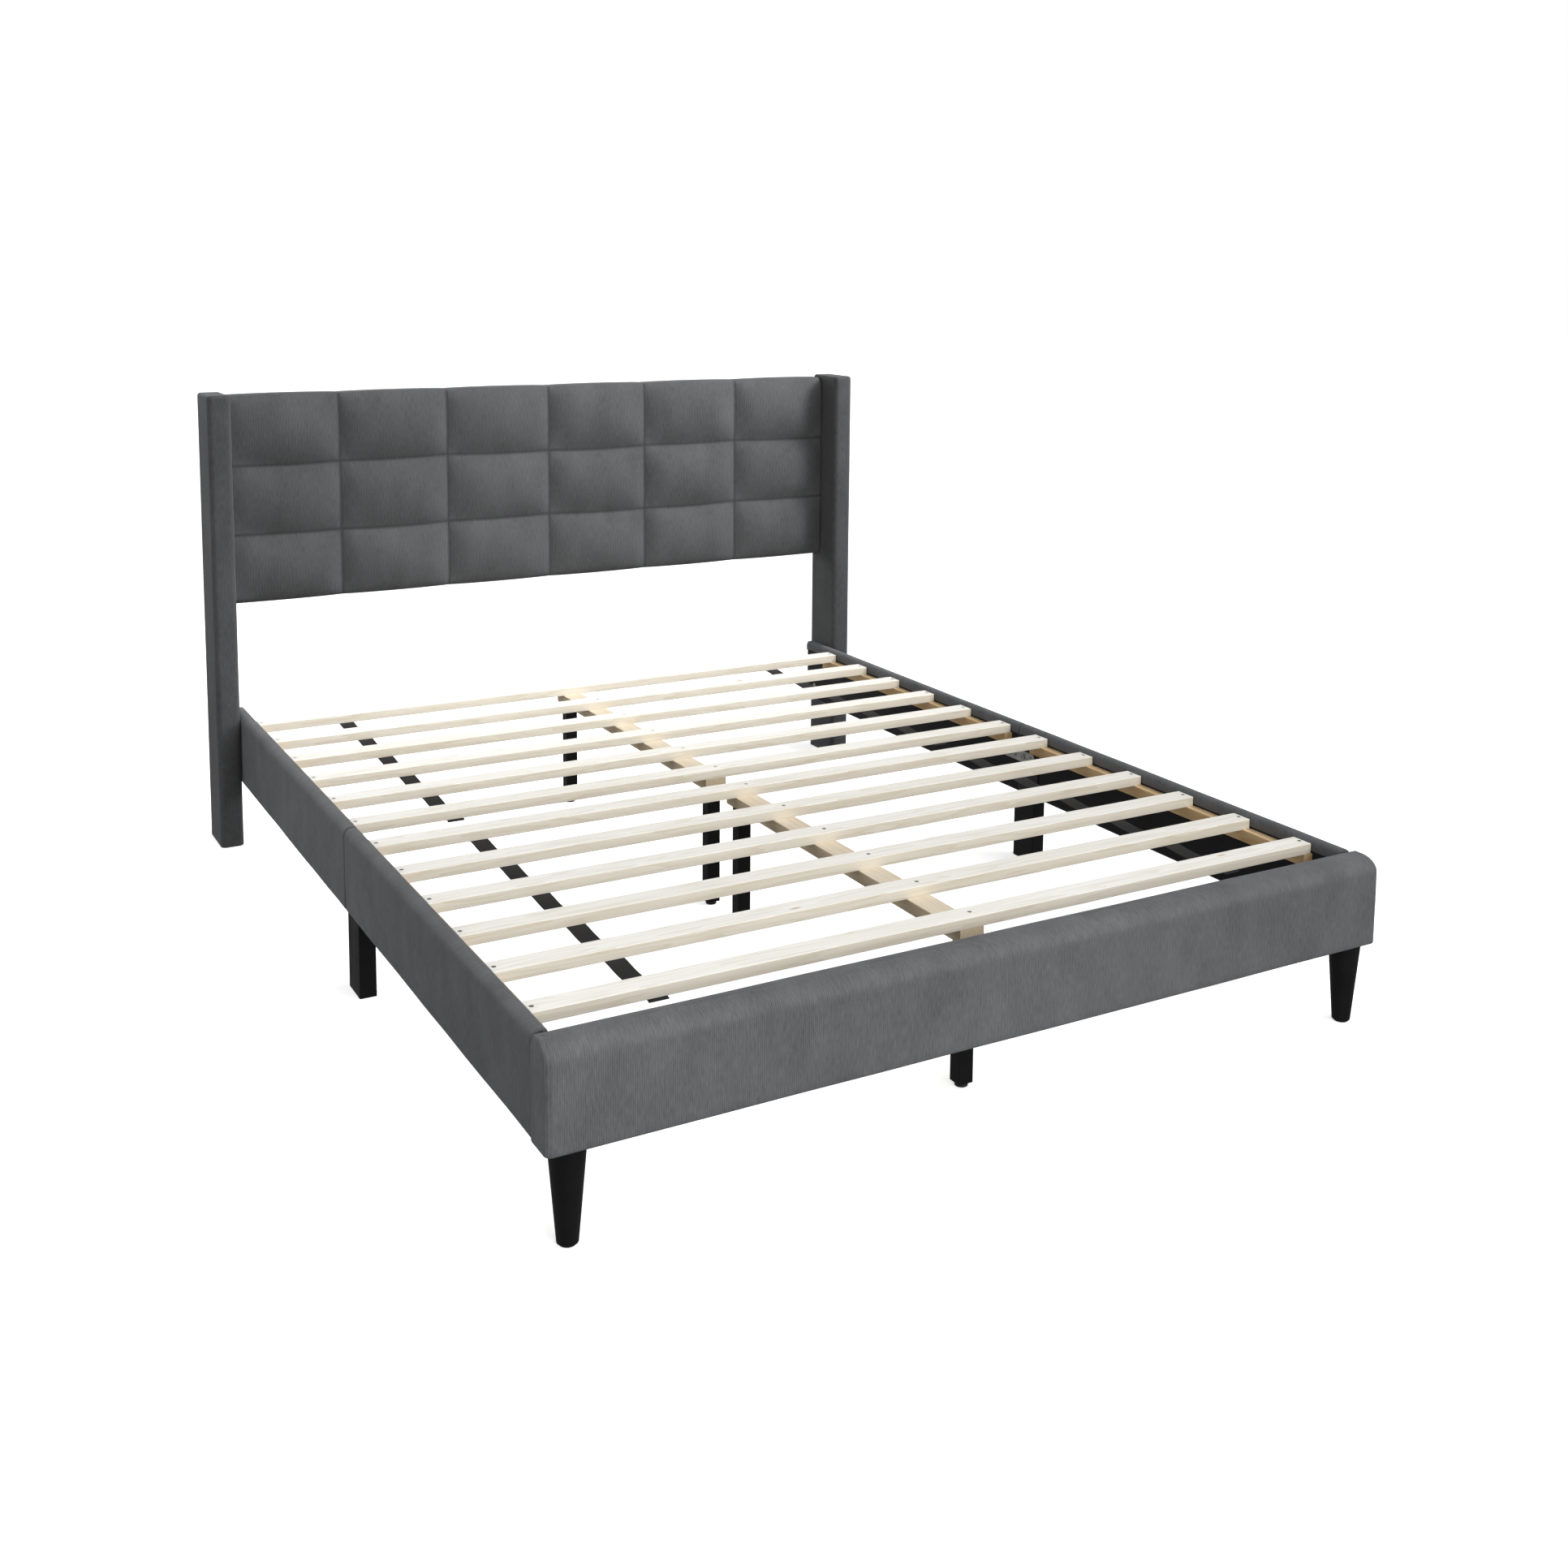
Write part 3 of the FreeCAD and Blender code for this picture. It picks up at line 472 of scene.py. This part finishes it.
def spaced(low, high, step, ends=()):
    """Even places from low to high, with the extra offsets from each end put in."""
    count = max(2, int(round((high - low) / step)))
    middle = np.linspace(low, high, count + 1)
    extra = [low + e for e in ends] + [high - e for e in ends]
    margin = max(ends) if ends else 0.0
    middle = [v for v in middle if low + margin * 1.3 < v < high - margin * 1.3]
    return np.array(sorted(set([low, high] + extra + middle)))


def arc(centre, radius, start, end, parts):
    """Points of a quarter turn, from start to end degrees."""
    turns = np.radians(np.linspace(start, end, parts + 1))
    return [(centre[0] + radius * math.cos(a), centre[1] + radius * math.sin(a)) for a in turns]


def run_counts(corners, step):
    """How many parts each run between two corners is divided into."""
    return [max(1, int(round(math.dist(corner[-1], corners[(i + 1) % len(corners)][0]) / step)))
            for i, corner in enumerate(corners)]


def outline(corners, counts):
    """Closed outline from rounded corners (lists of points), with the runs between filled in."""
    points = []
    for index, corner in enumerate(corners):
        points += corner
        a, b = corner[-1], corners[(index + 1) % len(corners)][0]
        for part in range(1, counts[index]):
            share = part / counts[index]
            points.append((a[0] + (b[0] - a[0]) * share, a[1] + (b[1] - a[1]) * share))
    return np.array(points)


def rounded_plan(x0, x1, y0, y1, front, back):
    """Corners of a plan outline, softer towards -Y than towards +Y."""
    return [
        arc((x1 - back, y1 - back), back, 0, 90, 4),
        arc((x0 + back, y1 - back), back, 90, 180, 4),
        arc((x0 + front, y0 + front), front, 180, 270, 8),
        arc((x1 - front, y0 + front), front, 270, 360, 8),
    ]


def skin(name, rings, material, cloth):
    """Closed skin over a stack of equal rings; each end is closed by smaller rings and a face."""
    rings = np.asarray(rings)
    count, size = rings.shape[:2]
    verts = rings.reshape(-1, 3)
    faces = []
    for i in range(count - 1):
        for j in range(size):
            k = (j + 1) % size
            faces.append((i * size + j, i * size + k, (i + 1) * size + k, (i + 1) * size + j))
    faces.append(tuple(range(size))[::-1])
    faces.append(tuple((count - 1) * size + j for j in range(size)))
    mesh = bpy.data.meshes.new(name)
    mesh.from_pydata([tuple(v) for v in verts], [], faces)
    set_cloth(mesh, np.asarray(cloth).reshape(-1, 3))
    face_outwards(mesh)
    return new_piece(name, mesh, material)


def side_rings(bottom, top):
    """Heights of the rings between a turned-in foot and a rounded top."""
    return np.arange(bottom + FIRST_RING, top - LAST_RING_GAP, STEP)


def arc_lengths(points):
    """Distance travelled along an outline, from its first point."""
    steps = np.linalg.norm(np.diff(points, axis=0), axis=1)
    return np.concatenate([[0.0], np.cumsum(steps)])


def hollow(piece, node):
    """Cut away the space that a CAD node fills, so the fabric is a shell around it."""
    cutter_mesh = bpy.data.meshes.new("cutter")
    bm = bmesh.new()
    low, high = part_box(node)
    made = bmesh.ops.create_cube(bm, size=1.0)
    size = high - low + Vector((CUT_CLEARANCE,) * 3) * 2
    bmesh.ops.scale(bm, vec=size, verts=made["verts"])
    bmesh.ops.translate(bm, vec=(low + high) / 2, verts=made["verts"])
    bm.to_mesh(cutter_mesh)
    bm.free()
    cutter = linked("cutter", cutter_mesh)
    cut = piece.modifiers.new("hollow", "BOOLEAN")
    cut.operation = "DIFFERENCE"
    cut.solver = "EXACT"
    cut.object = cutter
    apply_modifiers(piece)
    bpy.data.objects.remove(cutter)


def ripple(point, size, scale, seed):
    """Soft unevenness of foam under tight fabric."""
    return size * noise.noise(Vector(point) * scale + Vector((seed, 0.0, 0.0)))


# ---------------------------------------------------------------- side rails
def rail_cover(side, half, seed):
    """One padded half of a side rail: rounded top, drawn-in ends and the lip inside."""
    name = f"{side}_rail_cover_{half}"
    low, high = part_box(name)
    sign = -1.0 if side == "left" else 1.0
    inner, outer = sorted((abs(low.x), abs(high.x)))
    bottom, top = low.z, high.z
    lip_foot = top - RAIL_LIP
    board_face = inner + LIP_THICKNESS
    foot_round, outer_round, inner_round = RAIL_BOTTOM_ROUND, RAIL_TOP_OUTER_ROUND, RAIL_TOP_INNER_ROUND
    corners = [
        arc((outer - foot_round, bottom + foot_round), foot_round, -90, 0, 4),
        arc((outer - outer_round, top - outer_round), outer_round, 0, 90, 10),
        arc((inner + inner_round, top - inner_round), inner_round, 90, 180, 8),
        arc((inner + LIP_FOOT_ROUND, lip_foot + LIP_FOOT_ROUND), LIP_FOOT_ROUND, 180, 270, 3),
        [(board_face, lip_foot)],
        [(board_face, bottom)],
    ]
    section = outline(corners, run_counts(corners, STEP))
    centre_x = (inner + outer) / 2
    travelled = arc_lengths(section)
    places = spaced(low.y, high.y, STEP, (*END_DRAWS, END_ROUND))
    rings, cloth = [], []
    for y in places:
        from_end = min(y - low.y, high.y - y)
        depth = max(0.0, 1.0 - from_end / END_ROUND)
        pull = END_ROUND * END_PULL * (1 - math.sqrt(max(0.0, 1 - depth ** 2)))
        ring, marks = [], []
        for (x, z), s in zip(section, travelled):
            if abs(x - board_face) > 1e-6:
                swell = ripple((x * 2, y, z * 2), RAIL_UNEVENNESS, 7.0, seed)
                if x > centre_x:
                    x += swell * (1.0 if x > outer - RAIL_SIDE_BAND else 0.35) - pull
                else:
                    x += pull * 0.15
                if z > top - RAIL_TOP_BAND:
                    z += swell * 0.3 - pull
            ring.append((sign * min(x, outer + RAIL_PROUD), y, z))
            # painted shade: the third value rises to 1 within END_SHADE of each end of the half,
            # darkening the fabric where shade falls in the joints
            marks.append((y, s, max(0.0, 1.0 - from_end / END_SHADE)))
        rings.append(ring)
        cloth.append(marks)
    piece = skin(name + "_fabric", rings, GREY_RAIL, cloth)
    hollow(piece, f"{side}_rail_board_{half}")
    upholstery(name)


# ---------------------------------------------------------------- footboard
def footboard_cover():
    """Padded footboard: soft upright corners and a broad top that rolls over to the front."""
    name = "footboard_cover"
    low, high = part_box(name)

    def plan(front, end, back):
        return rounded_plan(
            low.x + end, high.x - end, low.y + front, high.y - back,
            max(FOOT_CORNER_ROUND - end / 2, 0.004), max(FOOT_BACK_CORNER_ROUND - back / 2, 0.002))

    counts = run_counts(plan(0.0, 0.0, 0.0), STEP)
    levels = [(inset, inset, inset, low.z + rise)
              for inset, rise in ((0.0045, 0.0), (0.0008, 0.0008), (0.0, 0.0035))]
    levels += [(0.0, 0.0, 0.0, z) for z in side_rings(low.z, high.z - FOOT_CREST)]
    for angle in np.radians(np.linspace(0, 90, 11)):
        share = 1 - math.cos(angle)
        levels.append((FOOT_FRONT_TURN * share, FOOT_END_TURN * share, FOOT_BACK_TURN * share,
                       high.z - FOOT_CREST * (1 - math.sin(angle))))
    flat = (high.y - low.y - FOOT_FRONT_TURN - FOOT_BACK_TURN) / 2
    for share in (0.35, 0.7, 0.95):
        levels.append((FOOT_FRONT_TURN + share * flat, FOOT_END_TURN + share * flat,
                       FOOT_BACK_TURN + share * flat, high.z))
    around = []
    for x, y in outline(plan(0.0, 0.0, 0.0), counts):
        on_end = abs(x) > high.x - FOOT_CORNER_ROUND and y < high.y - FOOT_BACK_CORNER_ROUND
        around.append(math.copysign(high.x + y - low.y, x) if on_end else x)
    still = high.y - FOOT_STILL_BACK
    rings, cloth = [], []
    travelled = 0.0
    for index, (front, end, back, z) in enumerate(levels):
        if index:
            travelled += math.dist((levels[index - 1][0], levels[index - 1][3]), (front, z))
        crest = unit((z - high.z) / FOOT_CREST + 1.0)
        ring = []
        for x, y in outline(plan(front, end, back), counts):
            swell = ripple((x, y * 2, z * 2), FOOT_UNEVENNESS, 5.0, 11.0)
            frontness = unit((still - y) / (still - low.y))
            ring.append((x, y - swell * frontness, z + 0.5 * swell * crest))
        rings.append(ring)
        cloth.append([(s, travelled, 0.0) for s in around])
    piece = skin(name + "_fabric", rings, GREY, cloth)
    hollow(piece, "footboard_frame")
    upholstery(name)


# ---------------------------------------------------------------- wing posts
def wing_cover(side):
    """Padded sleeve of a wing, from the floor to its rounded top."""
    name = f"{side}_wing_cover"
    low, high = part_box(name)
    sign = -1.0 if side == "left" else 1.0
    inner, outer = sorted((abs(low.x), abs(high.x)))
    seed = 3.0 if side == "left" else 8.0

    def plan(shrink):
        return rounded_plan(
            inner + shrink, outer - shrink, low.y + shrink, high.y - shrink,
            max(WING_FRONT_ROUND - shrink, 0.001), max(WING_BACK_ROUND - shrink, 0.001))

    counts = run_counts(plan(0.0), STEP)
    levels = [(0.0022, low.z), (0.0006, low.z + 0.0006), (0.0, low.z + 0.003)]
    levels += [(0.0, z) for z in side_rings(low.z, high.z - WING_TOP_ROUND)]
    for angle in np.radians(np.linspace(0, 90, 7)):
        levels.append((WING_TOP_ROUND * (1 - math.cos(angle)),
                       high.z - WING_TOP_ROUND * (1 - math.sin(angle))))
    half_width = (outer - inner) / 2
    for share in (0.5, 0.9):
        levels.append((WING_TOP_ROUND + share * (half_width - WING_TOP_ROUND), high.z))
    around = arc_lengths(outline(plan(0.0), counts))
    rings, cloth = [], []
    travelled = 0.0
    for index, (shrink, z) in enumerate(levels):
        if index:
            travelled += math.dist(levels[index - 1], (shrink, z))
        ring = []
        for x, y in outline(plan(shrink), counts):
            free = unit((x - inner) / half_width - 0.2) * unit((high.y - y) / WING_STILL_BACK)
            swell = ripple((x * 2, y * 2, z), WING_UNEVENNESS, 4.0, seed) * free
            ring.append((sign * (x + swell / 2), y - max(0.0, swell) / 2, z))
        rings.append(ring)
        cloth.append([(s, travelled, 0.0) for s in around])
    piece = skin(name + "_fabric", rings, GREY_WING, cloth)
    hollow(piece, f"{side}_wing_post")
    upholstery(name)


# ---------------------------------------------------------------- headboard
def seam_height(column_x, row, half_width, row_height, bottom):
    """Height of a sewn line between rows: it droops a little between the upright seams."""
    base = bottom + row * row_height
    share = (column_x + half_width) / (2 * half_width) * HEADBOARD_COLUMNS
    within = share - math.floor(share)
    droop = SEAM_DROOP * math.sin(math.pi * within)
    return base - droop + SEAM_WANDER * math.sin(2.3 * share + row * 1.7)


def headboard_grid(low, high):
    """Places of the fabric's points before it is filled.

    They are even in X, and bent to follow the seams in Z. The points on a seam are pinned.
    """
    half_width = high.x
    per_column = int(round(2 * half_width / HEADBOARD_COLUMNS / HEADBOARD_STEP))
    xs = np.linspace(-half_width, half_width, per_column * HEADBOARD_COLUMNS + 1)
    height = high.z - low.z
    row_height = height / HEADBOARD_ROWS
    per_row = int(round(row_height / HEADBOARD_STEP))
    grid = np.zeros((per_row * HEADBOARD_ROWS + 1, len(xs), 3))
    pinned = np.zeros(grid.shape[:2], bool)
    for j, x in enumerate(xs):
        lines = [low.z] + [seam_height(x, r, half_width, row_height, low.z)
                           for r in range(1, HEADBOARD_ROWS)] + [high.z]
        for r in range(HEADBOARD_ROWS):
            for k in range(per_row + 1):
                i = r * per_row + k
                grid[i, j] = (x, 0.0, lines[r] + (lines[r + 1] - lines[r]) * k / per_row)
    pinned[::per_row, :] = True
    pinned[:, ::per_column] = True
    return grid, pinned, per_column, per_row


def puffed(grid, pinned):
    """Fill the sewn rectangles by cloth simulation: pressure from behind, seams held."""
    rows, columns = grid.shape[:2]
    verts = grid.reshape(-1, 3)
    middle = verts.mean(axis=0)
    corner = [i * columns + j for i in range(rows - 1) for j in range(columns - 1)]
    faces = [(c, c + 1, c + columns + 1, c + columns) for c in corner]
    mesh = bpy.data.meshes.new("headboard_sheet")
    mesh.from_pydata([tuple(v - middle) for v in verts], [], faces)
    sheet = linked("headboard_sheet", mesh)
    group = sheet.vertex_groups.new(name="held")
    group.add([int(i) for i in np.flatnonzero(pinned.ravel())], 1.0, "REPLACE")
    cloth = sheet.modifiers.new("cloth", "CLOTH")
    settings = cloth.settings
    settings.quality = 6
    settings.mass = 0.25
    settings.tension_stiffness = 18.0
    settings.compression_stiffness = 14.0
    settings.shear_stiffness = 6.0
    settings.bending_stiffness = 4.0
    settings.tension_damping = 12.0
    settings.air_damping = 3.0
    settings.vertex_group_mass = "held"
    settings.use_pressure = True
    settings.uniform_pressure_force = 4.0
    settings.effector_weights.gravity = 0.0
    cloth.collision_settings.use_collision = False
    cloth.collision_settings.use_self_collision = False
    cloth.point_cache.frame_start = 1
    cloth.point_cache.frame_end = SIMULATION_FRAMES
    scene = bpy.context.scene
    for step in range(1, SIMULATION_FRAMES + 1):
        scene.frame_set(step)
    graph = bpy.context.evaluated_depsgraph_get()
    result = sheet.evaluated_get(graph).to_mesh()
    points = np.zeros(len(result.vertices) * 3, np.float32)
    result.vertices.foreach_get("co", points)
    sheet.evaluated_get(graph).to_mesh_clear()
    scene.frame_set(1)
    bpy.data.objects.remove(sheet)
    return points.reshape(rows, columns, 3) + middle


def eased(rise, pinned, passes):
    """Even out the fabric's small creases; the seams stay where they are."""
    for _ in range(passes):
        around = rise.copy()
        around[1:-1, 1:-1] = (
            rise[:-2, 1:-1] + rise[2:, 1:-1] + rise[1:-1, :-2] + rise[1:-1, 2:]) / 4
        rise = np.where(pinned, rise, rise * 0.4 + around * 0.6)
    return rise


def tufted_front(grid, pinned, per_column, left, right, seam_plane):
    """Front of the pad: the simulated rise, evened out, scaled to the crown and lifted at the sides."""
    puff = puffed(grid, pinned)
    rise = eased(-puff[:, :, 1], pinned, EASING_PASSES)
    rise = np.clip(rise / np.percentile(rise, CROWN_PERCENTILE), 0.0, CROWN_OVER)
    rise = rise ** FULLNESS * CROWN_CAP
    from_border = np.minimum(grid[:, :, 0] - left, right - grid[:, :, 0])
    lift = BORDER_LIFT * np.clip(1 - from_border / BORDER_WIDTH, 0.0, 1.0)
    shift = np.clip(puff - grid, -SIDEWAYS_CAP, SIDEWAYS_CAP)
    front = grid + shift * np.array([1.0, 0.0, 1.0])
    front[:, :, 1] = seam_plane - np.hypot(rise, lift)
    front[:, [0, -1], 0] = grid[:, [0, -1], 0]
    within = np.abs(np.sin(math.pi * np.arange(grid.shape[1]) / per_column))
    scallop = EDGE_SCALLOP * (1 - within ** 0.6)
    front[0, :, 2] += scallop
    front[-1, :, 2] -= scallop
    return front


def turned_over(edge_row, seam_plane, back):
    """Rows of points that carry the fabric over an edge to the back."""
    depths = np.concatenate([seam_plane + np.array(TURN_DEPTHS),
                             np.linspace(seam_plane + TURN_END, back, 3)])
    return np.array([[(p[0], y, p[2]) for p in edge_row] for y in depths])


def smooth_edge(sheet, edge):
    """Round the fabric where it turns over, in the three rows on each side of an edge."""
    zone, before, after = (slice(edge + k - 3, edge + k + 4) for k in (0, -1, 1))
    for _ in range(EDGE_SMOOTHING_PASSES):
        sheet[zone, :, 1:] = sheet[zone, :, 1:] * 0.5 + (
            sheet[before, :, 1:] + sheet[after, :, 1:]) * 0.25


def headboard_pad():
    """Tufted front, filled rectangle by rectangle, with the fabric turned over top and bottom."""
    name = "headboard_pad"
    low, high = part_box(name)
    seam_plane = low.y + SEAM_DEPTH
    grid, pinned, per_column, per_row = headboard_grid(low, high)
    front = tufted_front(grid, pinned, per_column, low.x, high.x, seam_plane)
    bottom_rows = turned_over(front[0], seam_plane, high.y)[::-1]
    top_rows = turned_over(front[-1], seam_plane, high.y)
    sheet = np.concatenate([bottom_rows, front, top_rows])
    for edge in (len(bottom_rows), len(sheet) - len(top_rows) - 1):
        smooth_edge(sheet, edge)

    rows, columns = grid.shape[:2]
    first = len(bottom_rows)
    # painted shade along the sewn lines: points on the seams get 1, which the corduroy darkens
    shade = np.zeros(sheet.shape[:2])
    shade[first + per_row:first + rows - 1:per_row, :] = 1.0
    shade[first:first + rows, per_column:columns - 1:per_column] = 1.0

    board_low, board_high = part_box("headboard_board")
    face_y = board_low.y - CUT_CLEARANCE
    foot, head = board_low.z - CUT_CLEARANCE, board_high.z + CUT_CLEARANCE
    inside = [[(p[0], y, z) for p in sheet[0]]
              for y, z in ((high.y, head), (face_y, head), (face_y, foot), (high.y, foot))]
    ring_rows = np.concatenate([sheet, np.array(inside)])
    cloth = np.zeros(ring_rows.shape)
    cloth[:, :, 0] = ring_rows[:, :, 0]
    cloth[:len(sheet), :, 1] = arc_lengths(sheet[:, 0, 1:])[:, None]
    cloth[:len(sheet), :, 2] = shade
    rings = np.swapaxes(ring_rows, 0, 1)
    piece = skin(name + "_fabric", rings, GREY_HEADBOARD, np.swapaxes(cloth, 0, 1))
    smooth = piece.modifiers.new("smooth", "SUBSURF")
    smooth.levels = smooth.render_levels = 1
    upholstery(name)


# ---------------------------------------------------------------- webbing
def straps(kit):
    """Webbing tapes stapled under each slat and slack between them."""
    name = f"slat_straps_{kit}"
    low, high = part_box(name)
    slat_boxes = sorted(
        (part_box(n) for n in nodes if n.startswith("slat_") and n[5:].isdigit()),
        key=lambda pair: pair[0].y)
    middles = [(a.y + b.y) / 2 for a, b in slat_boxes]
    middles = [y for y in middles if low.y < y < high.y]
    half_slat = (slat_boxes[0][1].y - slat_boxes[0][0].y) / 2
    first, last = middles[0] - half_slat, middles[-1] + half_slat
    half_gap = (middles[1] - middles[0]) / 2 - half_slat
    thickness = high.z - low.z
    verts, faces, cloth = [], [], []
    places = spaced(low.y, high.y, STRAP_STEP)
    for sign in (-1, 1):
        start = len(verts)
        for y in places:
            beyond = max(first - y, y - last)
            between = min(abs(y - m) for m in middles) - half_slat
            if beyond > 0:
                slack = STRAP_TAIL_DROOP * beyond
            else:
                slack = STRAP_SAG * math.sin(max(0.0, between) / half_gap * math.pi / 2) ** 1.5
            top = high.z - slack
            foot = top - thickness
            left, right = high.x - STRAP_WIDTH, high.x
            middle = (left + right) / 2
            for x, z in ((left, top), (middle, top), (right, top),
                         (right, foot), (middle, foot), (left, foot)):
                verts.append((sign * x, y, z))
                cloth.append((x, y, 0.0))
        for i in range(len(places) - 1):
            for j in range(6):
                k = (j + 1) % 6
                a, b = start + i * 6, start + (i + 1) * 6
                faces.append((a + j, a + k, b + k, b + j))
        far = start + (len(places) - 1) * 6
        faces.append(tuple(start + j for j in range(6))[::-1])
        faces.append(tuple(far + j for j in range(6)))
    mesh = bpy.data.meshes.new(name)
    mesh.from_pydata(verts, [], faces)
    set_cloth(mesh, cloth)
    face_outwards(mesh)
    piece = new_piece(name + "_webbing", mesh, WEBBING, smooth=False)
    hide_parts(name)


# ---------------------------------------------------------------- setting
def turn_to(thing, turn):
    """Give a lamp or camera its direction."""
    thing.rotation_mode = "QUATERNION"
    thing.rotation_quaternion = turn


def studio():
    """Pale floor, even surroundings that are brightest along the horizon, and large soft lamps."""
    mesh = bpy.data.meshes.new("floor")
    corners = ((-1, -1), (1, -1), (1, 1), (-1, 1))
    mesh.from_pydata([(x * FLOOR_HALF, y * FLOOR_HALF, 0) for x, y in corners], [], [(0, 1, 2, 3)])
    floor = linked("floor", mesh)
    t = Tree("floor")
    tone = t.mix(t.noise(t.place(), 2.0), (0.93, 0.93, 0.93, 1), (0.95, 0.95, 0.95, 1))
    floor.data.materials.append(t.finish(
        tone, 0.9, Specular_IOR_Level=0.0, Emission_Color=(1.0, 1.0, 1.0, 1.0),
        Emission_Strength=0.6))
    floor.visible_diffuse = False
    floor.visible_glossy = False

    world = bpy.data.worlds.new("studio")
    bpy.context.scene.world = world
    world.use_nodes = True
    tree = world.node_tree
    place = tree.nodes.new("ShaderNodeTexCoord")
    split = tree.nodes.new("ShaderNodeSeparateXYZ")
    ramp = tree.nodes.new("ShaderNodeValToRGB")
    scale = tree.nodes.new("ShaderNodeMapRange")
    scale.inputs["From Min"].default_value = -1.0
    tree.links.new(place.outputs["Generated"], split.inputs[0])
    tree.links.new(split.outputs["Z"], scale.inputs["Value"])
    tree.links.new(scale.outputs[0], ramp.inputs[0])
    tree.links.new(ramp.outputs[0], tree.nodes["Background"].inputs["Color"])
    stops = ((0.0, DIM_SKY), (0.46, DIM_SKY), (0.472, 1.0), (0.575, 1.0), (0.66, DIM_SKY))
    for place_on_ramp, _ in stops[2:]:
        ramp.color_ramp.elements.new(place_on_ramp)
    for element, (place_on_ramp, level) in zip(ramp.color_ramp.elements, stops):
        element.position = place_on_ramp
        element.color = (level, level, level, 1.0)

    def lamp(name, place, target, size, power, spread=180):
        data = bpy.data.lights.new(name, "AREA")
        data.shape = "SQUARE"
        data.size = size
        data.energy = power
        data.spread = math.radians(spread)
        light = linked(name, data)
        light.location = place
        turn_to(light, (Vector(target) - Vector(place)).to_track_quat("-Z", "Y"))

    lamp("key", (2.7, -0.9, 2.9), (0.3, 1.0, 1.2), 1.2, 15, 44)
    lamp("back", (-1.2, 5.0, 1.8), (0.0, 1.0, 0.8), 2.0, 14, 70)
    lamp("front", (-0.5, -3.7, 1.4), (-0.1, -1.0, 0.25), 2.0, 58)
    lamp("left", (-4.2, 0.7, 1.3), (-0.9, 0.0, 0.35), 1.8, 36)
    data = bpy.data.lights.new("sky", "SUN")
    data.energy = 2.1
    data.angle = math.radians(40)
    turn_to(linked("sky", data), Vector((-0.35, 0.36, -0.86)).to_track_quat("-Z", "Y"))


def camera():
    """Eye-height view from the foot end, a little to the left."""
    data = bpy.data.cameras.new("camera")
    data.lens = LENS
    data.sensor_width = 36.0
    data.shift_y = LENS_SHIFT
    data.clip_start, data.clip_end = 0.05, 200.0
    eye = linked("camera", data)
    eye.location = EYE
    level = math.cos(PITCH)
    ahead = Vector((math.sin(HEADING) * level, math.cos(HEADING) * level, -math.sin(PITCH)))
    right = Vector((math.cos(HEADING), -math.sin(HEADING), 0.0))
    up = right.cross(ahead)
    right, up = (right * math.cos(ROLL) + up * math.sin(ROLL),
                 up * math.cos(ROLL) - right * math.sin(ROLL))
    turn_to(eye, Matrix((right, up, -ahead)).transposed().to_quaternion())
    bpy.context.scene.camera = eye


# ---------------------------------------------------------------- the bed
paint_cad_nodes()
for index, (side, half) in enumerate((s, h) for s in ("left", "right") for h in ("head", "foot")):
    rail_cover(side, half, 2.0 + 5.0 * index)
footboard_cover()
for side in ("left", "right"):
    wing_cover(side)
headboard_pad()
for kit in ("head", "foot"):
    straps(kit)
studio()
camera()
bpy.context.scene.view_settings.view_transform = "Standard"
